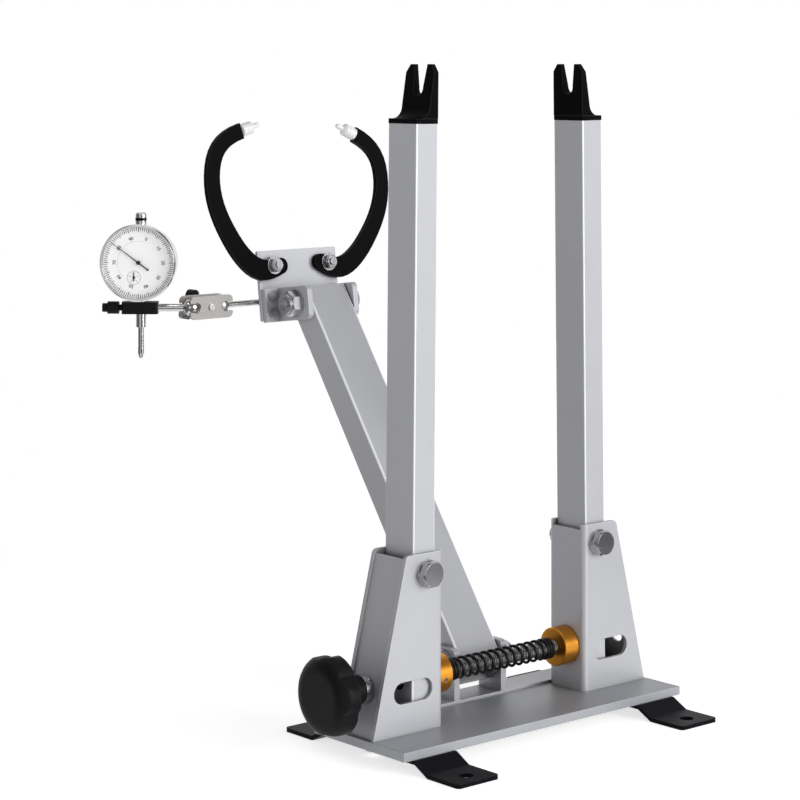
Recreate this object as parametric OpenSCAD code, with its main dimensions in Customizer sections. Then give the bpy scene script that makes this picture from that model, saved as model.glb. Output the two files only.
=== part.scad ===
// Bicycle wheel truing stand with self-centring uprights, caliper arms and a dial gauge.
// Origin: centre of the base plate at bench level. X right, Y back, Z up. Millimetres.

/* [Base] */
// How far the base plate reaches past the middle of each foot strip
plate_past = 27; // [24:1:40]
// Depth of the base plate, front to back
plate_d = 95; // [95:1:120]
// Thickness of the base plate
plate_t = 6; // [4:0.5:8]
// Thickness of the two foot strips
foot_t = 3; // [2:0.5:4]
// Width of a foot strip
foot_w = 37; // [32:1:44]
// Length of a foot strip, front to back
foot_len = 184; // [180:1:210]
// How far a strip's middle is raised above its pads
foot_rise = 6.5; // [5:0.5:9]
// Distance between the foot strips, centre to centre
foot_spacing = 215; // [200:1:245]
// Distance of a bench hole from the strip's end
bench_hole_in = 13; // [11:0.5:16]
// Diameter of the bench holes
bench_hole_d = 10.5; // [6:0.5:12]
// Length of a flat pad at the end of a strip
pad_len = 31; // [28:1:32]
// Radius of the strips' corners
foot_corner_r = 3; // [1:0.5:6]

/* [Brackets] */
// Distance from a foot strip's middle in to the face of the bracket's web
web_inside = 38.5; // [36:0.5:41]
// Sheet thickness of the brackets
sheet = 3; // [2:0.5:4]
// Height of a bracket above the base plate
bracket_h = 122; // [118:1:130]
// How far the web ends below the top of the flanges
web_drop = 4; // [2:0.5:8]
// Width of a flange at the base plate
bracket_foot_w = 63.5; // [60:0.5:65]
// Width of a flange at its top
bracket_top_w = 33.5; // [32:0.5:38]
// Outer radius of the bends between web and flanges
bend_r = 4; // [3.5:0.5:6]
// Radius of a flange's top outer corner
flange_corner_r = 4; // [2:0.5:8]
// Length of the sight slots in the flanges
sight_slot_len = 35; // [30:1:38]
// Height of the sight slots
sight_slot_h = 15; // [12:0.5:17]
// Distance from a web's outer face to the middle of the sight slots
sight_slot_x = 27.5; // [26:0.5:30]
// Height of the sight slots' centre line above the base plate
sight_slot_z = 28.6; // [26:0.2:32]
// Thickness of the slanted cover sheet
cover_t = 2; // [1:0.5:3]
// How far a cover lies inside the slanted edge of the flanges
cover_inset = 1.5; // [1:0.5:3]
// How far a cover ends below the top of the flanges
cover_drop = 3; // [2:0.5:10]

/* [Uprights] */
// Width of the upright tube, left to right
tube_w = 20; // [18:0.5:21]
// Depth of the upright tube, front to back
tube_d = 30; // [26:0.5:34]
// Wall thickness of the upright tube
tube_wall = 2; // [1.5:0.5:3]
// Length of the upright tube
tube_len = 406; // [300:1:440]
// Height of the tube's lower end above the base plate
tube_lift = 12; // [8:1:14]
// Distance of the uprights' middle plane behind the middle of the base plate
upright_y = 5; // [3:0.5:5]
// Distance from a web's outer face to the upright's pivot
pivot_inset = 15; // [14.5:0.5:16]
// Distance of the pivot below the top of the flanges
pivot_drop = 14; // [13:0.5:18]
// Inward lean of each upright as the stand is shown, in degrees
upright_lean = 0.6; // [0:0.1:2]
// Play between the upright tube and the bracket flanges
side_play = 0.3; // [0.3:0.1:0.6]
// Diameter of the pivot bolts
pivot_d = 10; // [8:1:12]

/* [Forks] */
// Thickness of the fork cap's base on the tube
cap_base_t = 3.5; // [2.5:0.5:6]
// Height of the fork above its base
fork_h = 38; // [34:1:46]
// Thickness of the fork at its tips
fork_tip_t = 3; // [2.5:0.5:4]
// Thickness of the fork where its flare starts
fork_waist_t = 7.5; // [6:0.5:9]
// Height of the flare above the base
fork_flare_h = 9; // [6:1:12]
// Width of the axle slot at its mouth
axle_slot_mouth = 13.5; // [12:0.5:15]
// Radius of the axle slot's round bottom
axle_slot_r = 5; // [4:0.25:5.5]
// Depth of the axle slot
axle_slot_depth = 22; // [18:1:26]
// Size of the bevels on the fork's tips
fork_bevel = 4; // [2:0.5:5]
// Length of the plug inside the tube
plug_len = 16; // [10:1:24]

/* [Centring screw] */
// Diameter of the screw rod
rod_d = 10; // [8:0.5:11]
// Height of the screw rod above the base plate
rod_h = 32; // [30:1:34]
// How far the rod reaches past the right pivot
rod_end_past = 14; // [13:0.5:16]
// Diameter of the collars
collar_d = 28; // [24:1:30]
// Length of a collar
collar_len = 13.5; // [10:0.5:18]
// Gap between a collar and its web
collar_play = 0.25; // [0.2:0.05:0.5]
// Wire thickness of the spring
spring_wire = 2.2; // [1.4:0.1:2.3]
// Gap between the rod and the spring's wire
spring_clear = 0.65; // [0.6:0.05:1]
// Turns of the open part of the spring
open_turns = 12; // [8:1:13]
// Close turns at each end of the spring
close_turns = 3; // [2:1:4]
// Pitch of the close turns
close_pitch = 2.6; // [2.4:0.1:3]
// Diameter of the trunnion nuts
nut_d = 15; // [14:0.5:16]
// Diameter of the trunnion pins
trunnion_pin_d = 10; // [8:0.5:10]
// Clearance round the rod in a trunnion nut
nut_clear = 0.3; // [0.3:0.05:0.4]

/* [Star knob] */
// Radius of the knob over its lobes
knob_r = 28.2; // [22:0.2:30]
// Depth of the scallops between the lobes
knob_scallop = 3.6; // [2:0.2:6]
// Number of lobes
knob_lobes = 6; // [5:1:8]
// Thickness of the lobed part
knob_t = 17; // [12:1:20]
// Radius of the flat middle of the knob's outer face
knob_face_r = 17; // [12:0.5:20]
// Diameter of the knob's hub
knob_hub_d = 20; // [16:1:24]
// Length of the hub
knob_hub_len = 19; // [14:1:24]
// Thickness of the washer behind the hub
knob_washer_t = 4; // [2:0.5:4]
// Gap between that washer and the lower edge of the left cover
knob_gap = 1; // [0.5:0.1:3]

/* [Rear arm] */
// Width of the arm tube, left to right
arm_w = 40; // [36:1:44]
// Depth of the arm tube
arm_d = 24; // [20:1:26]
// Wall thickness of the arm tube
arm_wall = 2; // [1.5:0.5:3]
// Distance from the arm's pivot to the head's pivot
arm_len = 301; // [240:1:320]
// How far the arm reaches below its pivot
arm_tail = 14; // [11:1:15]
// How far the arm reaches past the head's pivot
arm_nose = 8; // [7:0.5:10]
// Backward lean of the arm as the stand is shown, in degrees
arm_lean = 34.9; // [25:0.1:40]
// Distance of the arm's pivot behind the uprights' middle plane
arm_pivot_back = 30.4; // [30.4:0.2:36]
// Height of the arm's pivot above the base plate
arm_pivot_h = 27; // [26:0.5:32]
// Thickness of the arm bracket's base strip
strip_t = 2; // [1.5:0.5:3]
// Thickness of the arm bracket's two lugs
lug_t = 5; // [4:0.5:6]
// Depth of the lugs, front to back
lug_d = 24; // [20:1:24]
// Height of the lugs above the base plate
lug_h = 39; // [38:1:46]
// Play between the arm and the lugs, and between the arm and the ears
arm_play = 0.4; // [0.3:0.1:0.8]

/* [Head] */
// Width of the head plate
head_w = 78; // [76:1:90]
// Height of the head plate
head_h = 55; // [52:1:64]
// Thickness of the head plate
head_t = 3; // [2.5:0.5:6]
// Distance from the head's pivot to the front of the plate
head_reach = 25; // [22:1:30]
// How far the plate reaches below the pivot
head_drop = 12; // [10:1:14]
// Backward lean of the head as the stand is shown, in degrees
head_lean = 7.5; // [0:0.5:15]
// Thickness of the ears
ear_t = 4.5; // [3:0.5:6]
// How far an ear reaches in front of the pivot
ear_front = 16; // [13:1:20]
// Height of an ear
ear_h = 26; // [24:1:27]
// Width of an ear's leg on the plate
ear_leg_w = 13; // [11:0.5:14]

/* [Caliper arms] */
// Thickness of a caliper arm
caliper_t = 4; // [3:0.5:5]
// Distance between the two caliper bolts
caliper_spacing = 54.4; // [52:0.2:58]
// Height of the caliper bolts above the head's pivot
caliper_bolt_z = 31; // [30:0.5:34]
// Diameter of the caliper bolts
caliper_bolt_d = 6; // [5:0.5:6]
// Inward swing of the left caliper arm as the stand is shown, in degrees
caliper_left_swing = 8; // [0:0.5:12]
// Outward swing of the right caliper arm as the stand is shown, in degrees
caliper_right_swing = 1.5; // [0:0.5:6]
// Width of a caliper arm at its inner end
caliper_end_w = 12.8; // [12:0.2:14]
// Width of a caliper arm at its lower bend
caliper_bend_w = 16.6; // [14:0.2:17]
// Width of a caliper arm along its upper part
caliper_bar_w = 12.6; // [10:0.2:13]
// Diameter of a caliper tip's body
tip_d = 10; // [8:0.5:11]
// Length of a caliper tip's body
tip_len = 12; // [8:0.5:16]
// Diameter of the tip's feeler
feeler_d = 4.2; // [3:0.2:5]
// Length of the tip's feeler
feeler_len = 7; // [4:0.5:10]

/* [Gauge holder] */
// Diameter of the rod that is fixed behind the head plate
gauge_rod_d = 5; // [4:0.5:6]
// Distance of the two holder rods' axis behind the back of the head plate
gauge_rod_back = 5.5; // [3.5:0.5:7]
// Height of the holder rods' axis above the head's pivot
gauge_rod_rise = 3.5; // [2:0.5:5]
// Distance from the middle of the head to the middle of the swivel
swivel_x = 86; // [80:1:95]
// Length of the swivel plates
swivel_len = 40; // [38:1:46]
// Height of the swivel plates
swivel_h = 17.5; // [16:0.5:22]
// Thickness of the swivel plates
swivel_t = 2.2; // [1.6:0.2:3]
// Diameter of the balls at the rods' ends
ball_d = 13; // [12.5:0.5:14]
// Diameter of the ball seats in the swivel plates
seat_d = 8; // [7.6:0.2:10.4]
// Distance between the two balls
ball_spacing = 28; // [24:0.5:29]
// Diameter of the rod that carries the gauge clamp
carrier_d = 6; // [5:0.5:7]
// Distance from the carrier rod's ball to the gauge's stem
stem_reach = 38.5; // [36:0.5:50]
// Angle by which the carrier rod points back from the head's plane, in degrees
carrier_yaw = 42; // [0:1:45]
// Length of the gauge clamp
clamp_len = 27.6; // [26:0.2:34]
// How far the clamp reaches past the stem towards the head
clamp_inner = 13.2; // [11:0.2:15]
// Width of the gauge clamp, front to back
clamp_w = 12; // [11:0.5:15]
// Height of the gauge clamp
clamp_h = 9.2; // [8:0.2:10]

/* [Dial gauge] */
// Diameter of the bezel
bezel_d = 59; // [58:0.5:61]
// Diameter of the gauge case
case_d = 53; // [52.5:0.5:54]
// Depth of the gauge case behind the stem
case_back = 11; // [10:0.5:14]
// Height of the dial's centre above the holder rods
dial_h = 35; // [34.5:0.5:44]
// Angle by which the dial is turned from the front to the left, in degrees
dial_yaw = 47; // [0:1:60]
// Angle by which the dial print is turned clockwise, in degrees
dial_turn = 18; // [0:1:30]
// Diameter of the gauge's stem
stem_d = 8; // [7.5:0.5:8]
// How far the stem reaches below the holder rods
stem_drop = 14.8; // [10:0.2:16]
// Diameter of the plunger
plunger_d = 4.6; // [4:0.2:5]
// How far the plunger shows below the stem
plunger_out = 15.8; // [13:0.2:20]
// Length of the contact point
contact_len = 8.4; // [6:0.2:12]
// Distance from the dial's centre to the small dial's centre
small_dial_r = 12; // [10:0.5:13]
// Diameter of the cap on the gauge
cap_d = 8.8; // [7.5:0.2:10]
// Height of the cap on the gauge
cap_h = 11.8; // [8:0.2:13]

/* [Hidden] */
$fn = 64;
eps = 0.01;
// Running fit of pins and bolts, and the smaller fit of fixed fasteners
run_fit = 0.05;
seat_fit = 0.03;
hole_fit = 0.2;
// Gap kept between moving faces
move_gap = 0.3;
AF_M10 = 17;
AF_M6 = 10;
hex_corner = 1 / cos(30);

plate_w = foot_spacing + 2 * plate_past;
bench_hole_spacing = foot_len - 2 * bench_hole_in;
bracket_gap = foot_spacing - 2 * web_inside;
web_h = bracket_h - web_drop;
cover_h = bracket_h - cover_drop;
pivot_h = bracket_h - pivot_drop;
plate_z = foot_rise + foot_t;
plate_top = plate_z + plate_t;
pivot_r = pivot_d / 2;
pivot_x = bracket_gap / 2 + pivot_inset;
pivot_z = plate_top + pivot_h;
rod_z = plate_top + rod_h;
rod_r = rod_d / 2;
inner_d = tube_d + 2 * side_play;
outer_d = inner_d + 2 * sheet;
slant = [bracket_foot_w - bracket_top_w, bracket_h];
slant_len = norm(slant);
// Unit normal of the slanted edge, pointing outwards
slant_n = [slant[1], slant[0]] / slant_len;
function slant_x(z, inset = 0) = bracket_foot_w - slant[0] * z / slant[1] - inset / slant_n[0];
function arc(c, r, a0, a1, n = 8) = [for (i = [0:n])
    let (a = a0 + (a1 - a0) * i / n) [c[0] + r * cos(a), c[1] + r * sin(a)]];

// Nut and head sizes
head_t_m10 = 6.4;
nut_t_m10 = 9.5;
washer_t_m10 = 1.6;
washer_r_m10 = 10.5;
pivot_nut_t = 5.5;
pivot_washer_r = 9.5;

// Fasteners under the base: head, bore and nut of an M6 screw
m6_r = 3;
m6_head_t = 3;
m6_head_r = 5.5;
m6_nut_t = 5;
base_screw_step = 9.5;
strip_screw_in = 7.5;
strip_half = foot_spacing / 2 + 2;

// Centring screw
collar_in = bracket_gap / 2 - collar_play - collar_len;
rod_end = pivot_x + rod_end_past;
cover_low_x = bracket_gap / 2 + slant_x(rod_h - knob_hub_d / 2, cover_inset);
knob_washer_x = -(cover_low_x + knob_gap);
knob_hub_x = knob_washer_x - knob_washer_t;
knob_rod_in = 10;
knob_phase = 100;
set_screw_r = 1.6;
set_screw_af = 1.6;
set_screw_a = 100;
set_screw_step = 150;
lean_drop = (pivot_h - rod_h) / cos(upright_lean);
nut_body_len = tube_d - 2 * tube_wall - 0.6;
nut_pin_in = 5;
// How far inside the round bottom the walls of the axle slots start
slot_wall_in = 0.15;
tube_rod_hole_r = rod_r + 1.5;
lean_x = pivot_x + (pivot_h - rod_h) * tan(upright_lean);

// Spring: mean radius, and the straight ends
spring_r = rod_r + spring_clear + spring_wire / 2;
spring_bend = spring_wire;
spring_half = collar_in - spring_wire - spring_bend;
open_len = 2 * spring_half - 2 * close_turns * close_pitch;
open_pitch = open_len / open_turns;
RINGS = 8;
SIDES = 6;
turn_total = open_turns + 2 * close_turns;
function spring_x(t) = t < close_turns ? -spring_half + t * close_pitch
    : t < close_turns + open_turns ? -spring_half + close_turns * close_pitch + (t - close_turns) * open_pitch
    : spring_half - (turn_total - t) * close_pitch;
function slope(t) = t < close_turns || t > close_turns + open_turns ? close_pitch : open_pitch;
// A wire point: axial place, turn angle, and the wire's direction along the axis and round it
bend_deg = spring_bend / spring_r * 180 / PI;
BEND_STEPS = 3;
function bend_point(s, i) = let (a = 90 * i / BEND_STEPS)
    [s * (spring_half + spring_bend * (1 - cos(a))), s * bend_deg * sin(a), sin(a), cos(a)];
wire_path = concat(
    [[-spring_half - spring_bend - spring_wire, -bend_deg, 1, 0]],
    [for (i = [BEND_STEPS:-1:1]) bend_point(-1, i)],
    [for (k = [0:turn_total * RINGS]) let (t = k / RINGS, run = 2 * PI * spring_r, l = norm([slope(t), run]))
        [spring_x(t), 360 * t, slope(t) / l, run / l]],
    [for (i = [1:BEND_STEPS]) let (b = bend_point(1, i)) [b[0], 360 * turn_total + b[1], b[2], b[3]]],
    [[spring_half + spring_bend + spring_wire, 360 * turn_total + bend_deg, 1, 0]]);
function wire_centre(p) = [p[0], spring_r * cos(p[1]), spring_r * sin(p[1])];
function wire_ring(p) = let (out = [0, cos(p[1]), sin(p[1])], round = [0, -sin(p[1]), cos(p[1])],
    side = [-p[3], 0, 0] + p[2] * round)
    [for (k = [0:SIDES - 1]) let (a = 360 * k / SIDES)
        wire_centre(p) + spring_wire / 2 * (cos(a) * out + sin(a) * side)];
wire_points = [for (p = wire_path) each wire_ring(p)];
rings_total = len(wire_path);
wire_faces = concat(
    [for (k = [1:SIDES - 2]) [0, k, k + 1]],
    [for (i = [0:rings_total - 2], k = [0:SIDES - 1]) let (a = i * SIDES + k, b = i * SIDES + (k + 1) % SIDES)
        each [[a, a + SIDES, b], [b, a + SIDES, b + SIDES]]],
    [for (k = [1:SIDES - 2]) let (s = (rings_total - 1) * SIDES) [s, s + k + 1, s + k]]);
wire_centres = [for (p = wire_path) wire_centre(p)];
spring_gap = min([for (i = [0:rings_total - 1], j = [i + RINGS / 2:1:rings_total - 1])
    norm(wire_centres[i] - wire_centres[j])]) - spring_wire;
echo(least_gap_between_spring_turns = spring_gap);

// Rear arm
arm_pivot_y = upright_y + arm_pivot_back;
arm_pivot_z = plate_top + arm_pivot_h;
lug_x = arm_w / 2 + arm_play;
lug_corner_r = 4;
sleeve_r = 8;

// Head: u points back through the plate, w up along it, both from the head's pivot
head_pivot = [0, arm_pivot_y + arm_len * sin(arm_lean), arm_pivot_z + arm_len * cos(arm_lean)];
ear_x = arm_w / 2 + arm_play;
ear_out = ear_x + ear_t;
ear_corner_r = 4;
m4_r = 2;
ear_screw_w = [-6.5, 7.5];
ear_screw_x = ear_out + ear_leg_w * 0.55;
m4_head_t = 1.6;
m4_head_r = 3.4;
caliper_x = caliper_spacing / 2;
caliper_bolt_r = caliper_bolt_d / 2;
caliper_washer_t = 1;
caliper_washer_r = 7;
caliper_back = head_reach - caliper_washer_t;
caliper_front = caliper_back - caliper_t;
caliper_nut_t = 4.6;
caliper_head_t = 4;
caliper_bolt_past = 1.4;

// Caliper arm outline: a centre line of Bezier stretches from the inner end to the tip, with a
// width at the end of each stretch. The bolt is the origin and x points away from the head.
CAL_LINE = [
    [[-7.1, 0.3], [-2.5, -1.2], [4.1, -5.2], [12.6, -4.3]],
    [[12.6, -4.3], [23.1, -3], [35.1, 8], [44.3, 20.6]],
    [[44.3, 20.6], [54.1, 33.5], [61, 47], [61.6, 63.5]],
    [[61.6, 63.5], [62.1, 82], [56.1, 93.5], [35.6, 102.3]]];
CAL_WIDTH = [caliper_end_w, caliper_bend_w, (caliper_bend_w + caliper_bar_w) / 2, caliper_bar_w, caliper_bar_w];
CAL_STEPS = 8;
function bez(p, t) = pow(1 - t, 3) * p[0] + 3 * t * pow(1 - t, 2) * p[1] + 3 * t * t * (1 - t) * p[2]
    + pow(t, 3) * p[3];
function bez_dir(p, t) = let (d = pow(1 - t, 2) * (p[1] - p[0]) + 2 * t * (1 - t) * (p[2] - p[1])
    + t * t * (p[3] - p[2])) d / norm(d);
function cal_edge(s) = [for (k = [0:len(CAL_LINE) - 1], i = [(k == 0 ? 0 : 1):CAL_STEPS])
    let (t = i / CAL_STEPS, d = bez_dir(CAL_LINE[k], t), w = CAL_WIDTH[k] + (CAL_WIDTH[k + 1] - CAL_WIDTH[k]) * t)
        bez(CAL_LINE[k], t) + s * w / 2 * [-d[1], d[0]]];
cal_left_edge = cal_edge(1);
cal_right_edge = cal_edge(-1);
cal_start_dir = bez_dir(CAL_LINE[0], 0);
cal_start_a = atan2(cal_start_dir[1], cal_start_dir[0]);
cal_end = CAL_LINE[3][3];
cal_end_dir = bez_dir(CAL_LINE[3], 1);
cal_end_a = atan2(cal_end_dir[1], cal_end_dir[0]);
spigot_r = 1.4;
spigot_len = 8;

// Gauge holder: one axis line along X carries both rods
holder_u = head_reach + head_t + gauge_rod_back;
holder_w = gauge_rod_rise;
holder_y = head_pivot[1] + holder_u * cos(head_lean) + holder_w * sin(head_lean);
holder_z = head_pivot[2] - holder_u * sin(head_lean) + holder_w * cos(head_lean);
ball_r = ball_d / 2;
seat_r = seat_d / 2;
seat_clear = 0.15;
swivel_in = sqrt(pow(ball_r + seat_clear, 2) - seat_r * seat_r);
ball_head_x = -swivel_x + ball_spacing / 2;
ball_clamp_x = -swivel_x - ball_spacing / 2;
rod_block_out = 28;
rod_block_len = 18;
rod_block_h = 24;
rod_block_t = gauge_rod_back + gauge_rod_d / 2 + 3;
rod_block_screws = [-8, 8];
block_screw_x = rod_block_out - rod_block_len / 2;
swivel_screw_r = 2;
swivel_head_r = 2.8;
swivel_head_t = 1.2;
swivel_knob_out = 11;
wing_len = 24;
wing_t = 7;
wing_w = 8;
wing_lean = 24;
// Along the carrier rod: x from its ball, with the stem on the negative side
clamp_in_x = clamp_inner - stem_reach;
clamp_out_x = clamp_in_x - clamp_len;
stem_place = [ball_clamp_x - stem_reach * cos(carrier_yaw), holder_y + stem_reach * sin(carrier_yaw)];
carrier_in = 6;
clamp_screw_r = 2.4;
thread_show = 2.5;
screw_tip_gap = 0.1;
thumb_r = 4.8;
thumb_len = 8.6;
thumb_tail_r = 3.4;
thumb_tail_len = 4;

// Dial gauge: local z points out of the dial, from the stem's axis
stem_r = stem_d / 2;
plunger_r = plunger_d / 2;
bezel_r = bezel_d / 2;
case_r = case_d / 2;
case_shoulder = cap_d / 2 + 0.4;
neck_r = case_r - 1.2;
face_r = neck_r - 1.1;
face_z = case_shoulder + 3;
face_t = 0.8;
bezel_in_r = neck_r + move_gap;
scale_z = face_z + face_t + move_gap;
scale_t = 0.6;
scale_in_r = face_r - 0.8;
window_r = bezel_r - 1.9;
crystal_z = face_z + face_t + 2.7;
crystal_t = 1.5;
crystal_r = window_r + 0.6;
bezel_lip_r = window_r - 0.2;
case_floor = 2;
cavity_r = face_r - 2.3;
hand_t = 0.5;
small_hand_z = face_z + face_t + move_gap;
big_hand_z = small_hand_z + hand_t + 0.4;
hand_len = 24.6;
hand_tail = 9;
hand_w = 0.9;
hub_r = 1.6;
small_hand_len = 4.2;
hand_pin_r = 0.8;
hand_pin_in = 2;
dial_z = holder_z + dial_h;
plunger_top = -14;
cap_neck_h = 3;
big_hand_a = 54;
small_dial_a = -90 - dial_turn;

// ---- Shared shapes ----

// Right-hand parts are drawn as they are, left-hand parts mirrored
module on_side(side) {
    mirror([side < 0 ? 1 : 0, 0, 0]) children();
}

module along_x() {
    rotate([0, 90, 0]) children();
}

module along_y() {
    rotate([-90, 0, 0]) children();
}

module hexagon(af, t) {
    cylinder(r = af / 2 * hex_corner, h = t, $fn = 6);
}

// Hexagon head with its upper corners turned off
module hex_head(af, t) {
    intersection() {
        hexagon(af, t);
        rotate_extrude() polygon([[0, 0], [af / 2 * hex_corner, 0], [af / 2 * hex_corner, t * 0.8],
            [af / 2 * 0.98, t], [0, t]]);
    }
}

module washer(r, hole_r, t) {
    difference() {
        cylinder(r = r, h = t);
        translate([0, 0, -1]) cylinder(r = hole_r, h = t + 2);
    }
}

// Lock nut: a hexagon with a round collar on top
module lock_nut(af, bolt_r, t) {
    difference() {
        union() {
            hex_head(af, t * 0.72);
            cylinder(r = af / 2 * 0.9, h = t);
        }
        translate([0, 0, -1]) cylinder(r = bolt_r + seat_fit, h = t + 2);
    }
}

module plain_nut(af, bolt_r, t) {
    difference() {
        hex_head(af, t);
        translate([0, 0, -1]) cylinder(r = bolt_r + seat_fit, h = t + 2);
    }
}

// Rectangle with four round corners, centred
module round_rect(w, d, r) {
    square([w - 2 * r, d], center = true);
    square([w, d - 2 * r], center = true);
    for (x = [-1, 1], y = [-1, 1]) translate([x * (w / 2 - r), y * (d / 2 - r)]) circle(r = r);
}

// Rectangle from the origin along x, centred on y, with its two corners at the origin rounded
module bent_rect(w, d, r) {
    translate([r, -d / 2]) square([w - r, d]);
    translate([0, -d / 2 + r]) square([w, d - 2 * r]);
    for (y = [-1, 1]) translate([r, y * (d / 2 - r)]) circle(r = r);
}

// ---- Base ----

module base_plate() {
    color([0.72, 0.73, 0.74]) difference() {
        translate([-plate_w / 2, -plate_d / 2, plate_z]) cube([plate_w, plate_d, plate_t]);
        screw_holes(plate_z - 1, plate_t + 2);
    }
}

module screw_places() {
    for (s = [-1, 1], k = [-1, 1]) translate([s * (foot_spacing / 2 + k * base_screw_step), upright_y, 0]) children();
}

module strip_screw_places() {
    for (s = [-1, 1]) translate([s * (foot_spacing / 2 - strip_screw_in), arm_pivot_y, 0]) children();
}

module screw_holes(z, h) {
    screw_places() translate([0, 0, z]) cylinder(r = m6_r + hole_fit, h = h);
    strip_screw_places() translate([0, 0, z]) cylinder(r = m6_r + hole_fit, h = h);
}

module foot_strip(side) {
    end_y = foot_len / 2;
    pad_y = end_y - pad_len;
    flat_y = pad_y - foot_rise - 6;
    half = [[0, foot_rise], [flat_y, foot_rise], [pad_y, 0], [end_y, 0], [end_y, foot_t],
        [pad_y + 1, foot_t], [flat_y + 1, foot_rise + foot_t], [0, foot_rise + foot_t]];
    color([0.05, 0.05, 0.055]) translate([side * foot_spacing / 2, 0, 0]) difference() {
        intersection() {
            for (s = [0, 1]) mirror([0, s, 0]) rotate([90, 0, 90])
                translate([0, 0, -foot_w / 2]) linear_extrude(foot_w) polygon(half);
            linear_extrude(foot_rise + foot_t + 1) round_rect(foot_w, foot_len, foot_corner_r);
        }
        for (s = [-1, 1]) translate([0, s * bench_hole_spacing / 2, -1])
            cylinder(d = bench_hole_d, h = foot_t + 2);
        translate([-side * foot_spacing / 2, 0, 0]) screw_holes(foot_rise - 1, foot_t + 2);
    }
}

module base_screw(grip) {
    translate([0, 0, foot_rise - m6_head_t]) cylinder(r = m6_head_r, h = m6_head_t);
    translate([0, 0, foot_rise - eps]) cylinder(r = m6_r, h = foot_t + plate_t + grip + m6_nut_t + 1);
}

module base_screws() {
    color("silver") {
        screw_places() {
            base_screw(sheet);
            translate([0, 0, plate_top + sheet]) plain_nut(AF_M6, m6_r, m6_nut_t);
        }
        strip_screw_places() {
            base_screw(strip_t);
            translate([0, 0, plate_top + strip_t]) plain_nut(AF_M6, m6_r, m6_nut_t);
        }
    }
}

// ---- Brackets ----

// Side view of a flange, x from the web's outer face
module flange_outline() {
    corner = [slant_x(bracket_h - flange_corner_r, flange_corner_r), bracket_h - flange_corner_r];
    polygon(concat([[0, 0], [bracket_foot_w, 0]],
        arc(corner, flange_corner_r, atan2(slant_n[1], slant_n[0]), 90), [[0, bracket_h]]));
}

module sight_slot() {
    reach = (sight_slot_len - sight_slot_h) / 2;
    translate([sight_slot_x, 0, sight_slot_z]) rotate([90, 0, 0]) translate([0, 0, -outer_d]) {
        translate([-reach, -sight_slot_h / 2, 0]) cube([2 * reach, sight_slot_h, 2 * outer_d]);
        for (x = [-reach, reach]) translate([x, 0, 0]) cylinder(d = sight_slot_h, h = 2 * outer_d);
    }
}

module bracket(side) {
    tab = slant_x(0, cover_inset + cover_t) - 3;
    color([0.8, 0.81, 0.82]) difference() {
        on_side(side) translate([bracket_gap / 2, upright_y, plate_top]) difference() {
            union() {
                intersection() {
                    difference() {
                        linear_extrude(bracket_h) bent_rect(bracket_foot_w, outer_d, bend_r);
                        translate([sheet, 0, -1]) linear_extrude(bracket_h + 2)
                            bent_rect(bracket_foot_w, inner_d, bend_r - sheet);
                    }
                    translate([0, outer_d / 2, 0]) rotate([90, 0, 0]) linear_extrude(outer_d) flange_outline();
                }
                translate([sheet - 1, -inner_d / 2 - 1, 0]) cube([tab - sheet + 1, inner_d + 2, sheet]);
            }
            translate([-1, 1 - inner_d / 2, web_h]) cube([sheet + 2, inner_d - 2, bracket_h]);
            sight_slot();
            translate([pivot_inset, -outer_d, pivot_h]) along_y() cylinder(r = pivot_r + run_fit, h = 2 * outer_d);
            translate([-1, 0, rod_h]) along_x() cylinder(r = rod_r + run_fit, h = sheet + 2);
        }
        screw_holes(plate_top - 1, sheet + 2);
    }
}

module bracket_cover(side) {
    far = cover_inset + cover_t;
    color([0.8, 0.81, 0.82]) on_side(side) translate([bracket_gap / 2, upright_y, plate_top]) difference() {
        translate([0, inner_d / 2, 0]) rotate([90, 0, 0]) linear_extrude(inner_d)
            polygon([[slant_x(0, far), 0], [slant_x(0, cover_inset), 0],
                [slant_x(cover_h, cover_inset), cover_h], [slant_x(cover_h, far), cover_h]]);
        translate([bracket_top_w, 0, rod_h]) along_x() cylinder(r = rod_r + 1, h = bracket_foot_w);
    }
}

// Bolt along +Y through both flanges, from the front: washer, head and shank
module pivot_bolts() {
    grip = outer_d + 2 * washer_t_m10;
    color("silver") for (s = [-1, 1])
        translate([s * pivot_x, upright_y - grip / 2, pivot_z]) {
            mirror([0, 1, 0]) along_y() hex_head(AF_M10, head_t_m10);
            translate([0, -eps, 0]) along_y() cylinder(r = pivot_r, h = grip + pivot_nut_t + 1.5);
        }
}

module pivot_nuts() {
    color("silver") for (s = [-1, 1]) translate([s * pivot_x, upright_y, pivot_z]) {
        for (k = [0, 1]) mirror([0, k, 0]) translate([0, outer_d / 2, 0]) along_y()
            washer(pivot_washer_r, pivot_r + hole_fit, washer_t_m10);
        translate([0, outer_d / 2 + washer_t_m10, 0]) along_y() lock_nut(AF_M10, pivot_r, pivot_nut_t);
    }
}

// ---- Uprights ----

// Frame of an upright: origin at its pivot, z along the tube
module upright_frame(side) {
    on_side(side) translate([pivot_x, upright_y, pivot_z]) rotate([0, -upright_lean, 0]) children();
}

module upright(side) {
    low = tube_lift - pivot_h;
    color([0.82, 0.83, 0.85]) upright_frame(side) difference() {
        translate([0, 0, low]) linear_extrude(tube_len) round_rect(tube_w, tube_d, 1.2);
        translate([0, 0, low - 1]) linear_extrude(tube_len + 2)
            square([tube_w - 2 * tube_wall, tube_d - 2 * tube_wall], center = true);
        translate([0, -tube_d, 0]) along_y() cylinder(r = pivot_r + run_fit, h = 2 * tube_d);
        translate([0, -tube_d, -lean_drop]) along_y() cylinder(d = trunnion_pin_d + 2 * run_fit, h = 2 * tube_d);
        translate([-tube_w, 0, -lean_drop]) along_x() cylinder(r = tube_rod_hole_r, h = 2 * tube_w);
    }
}

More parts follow.
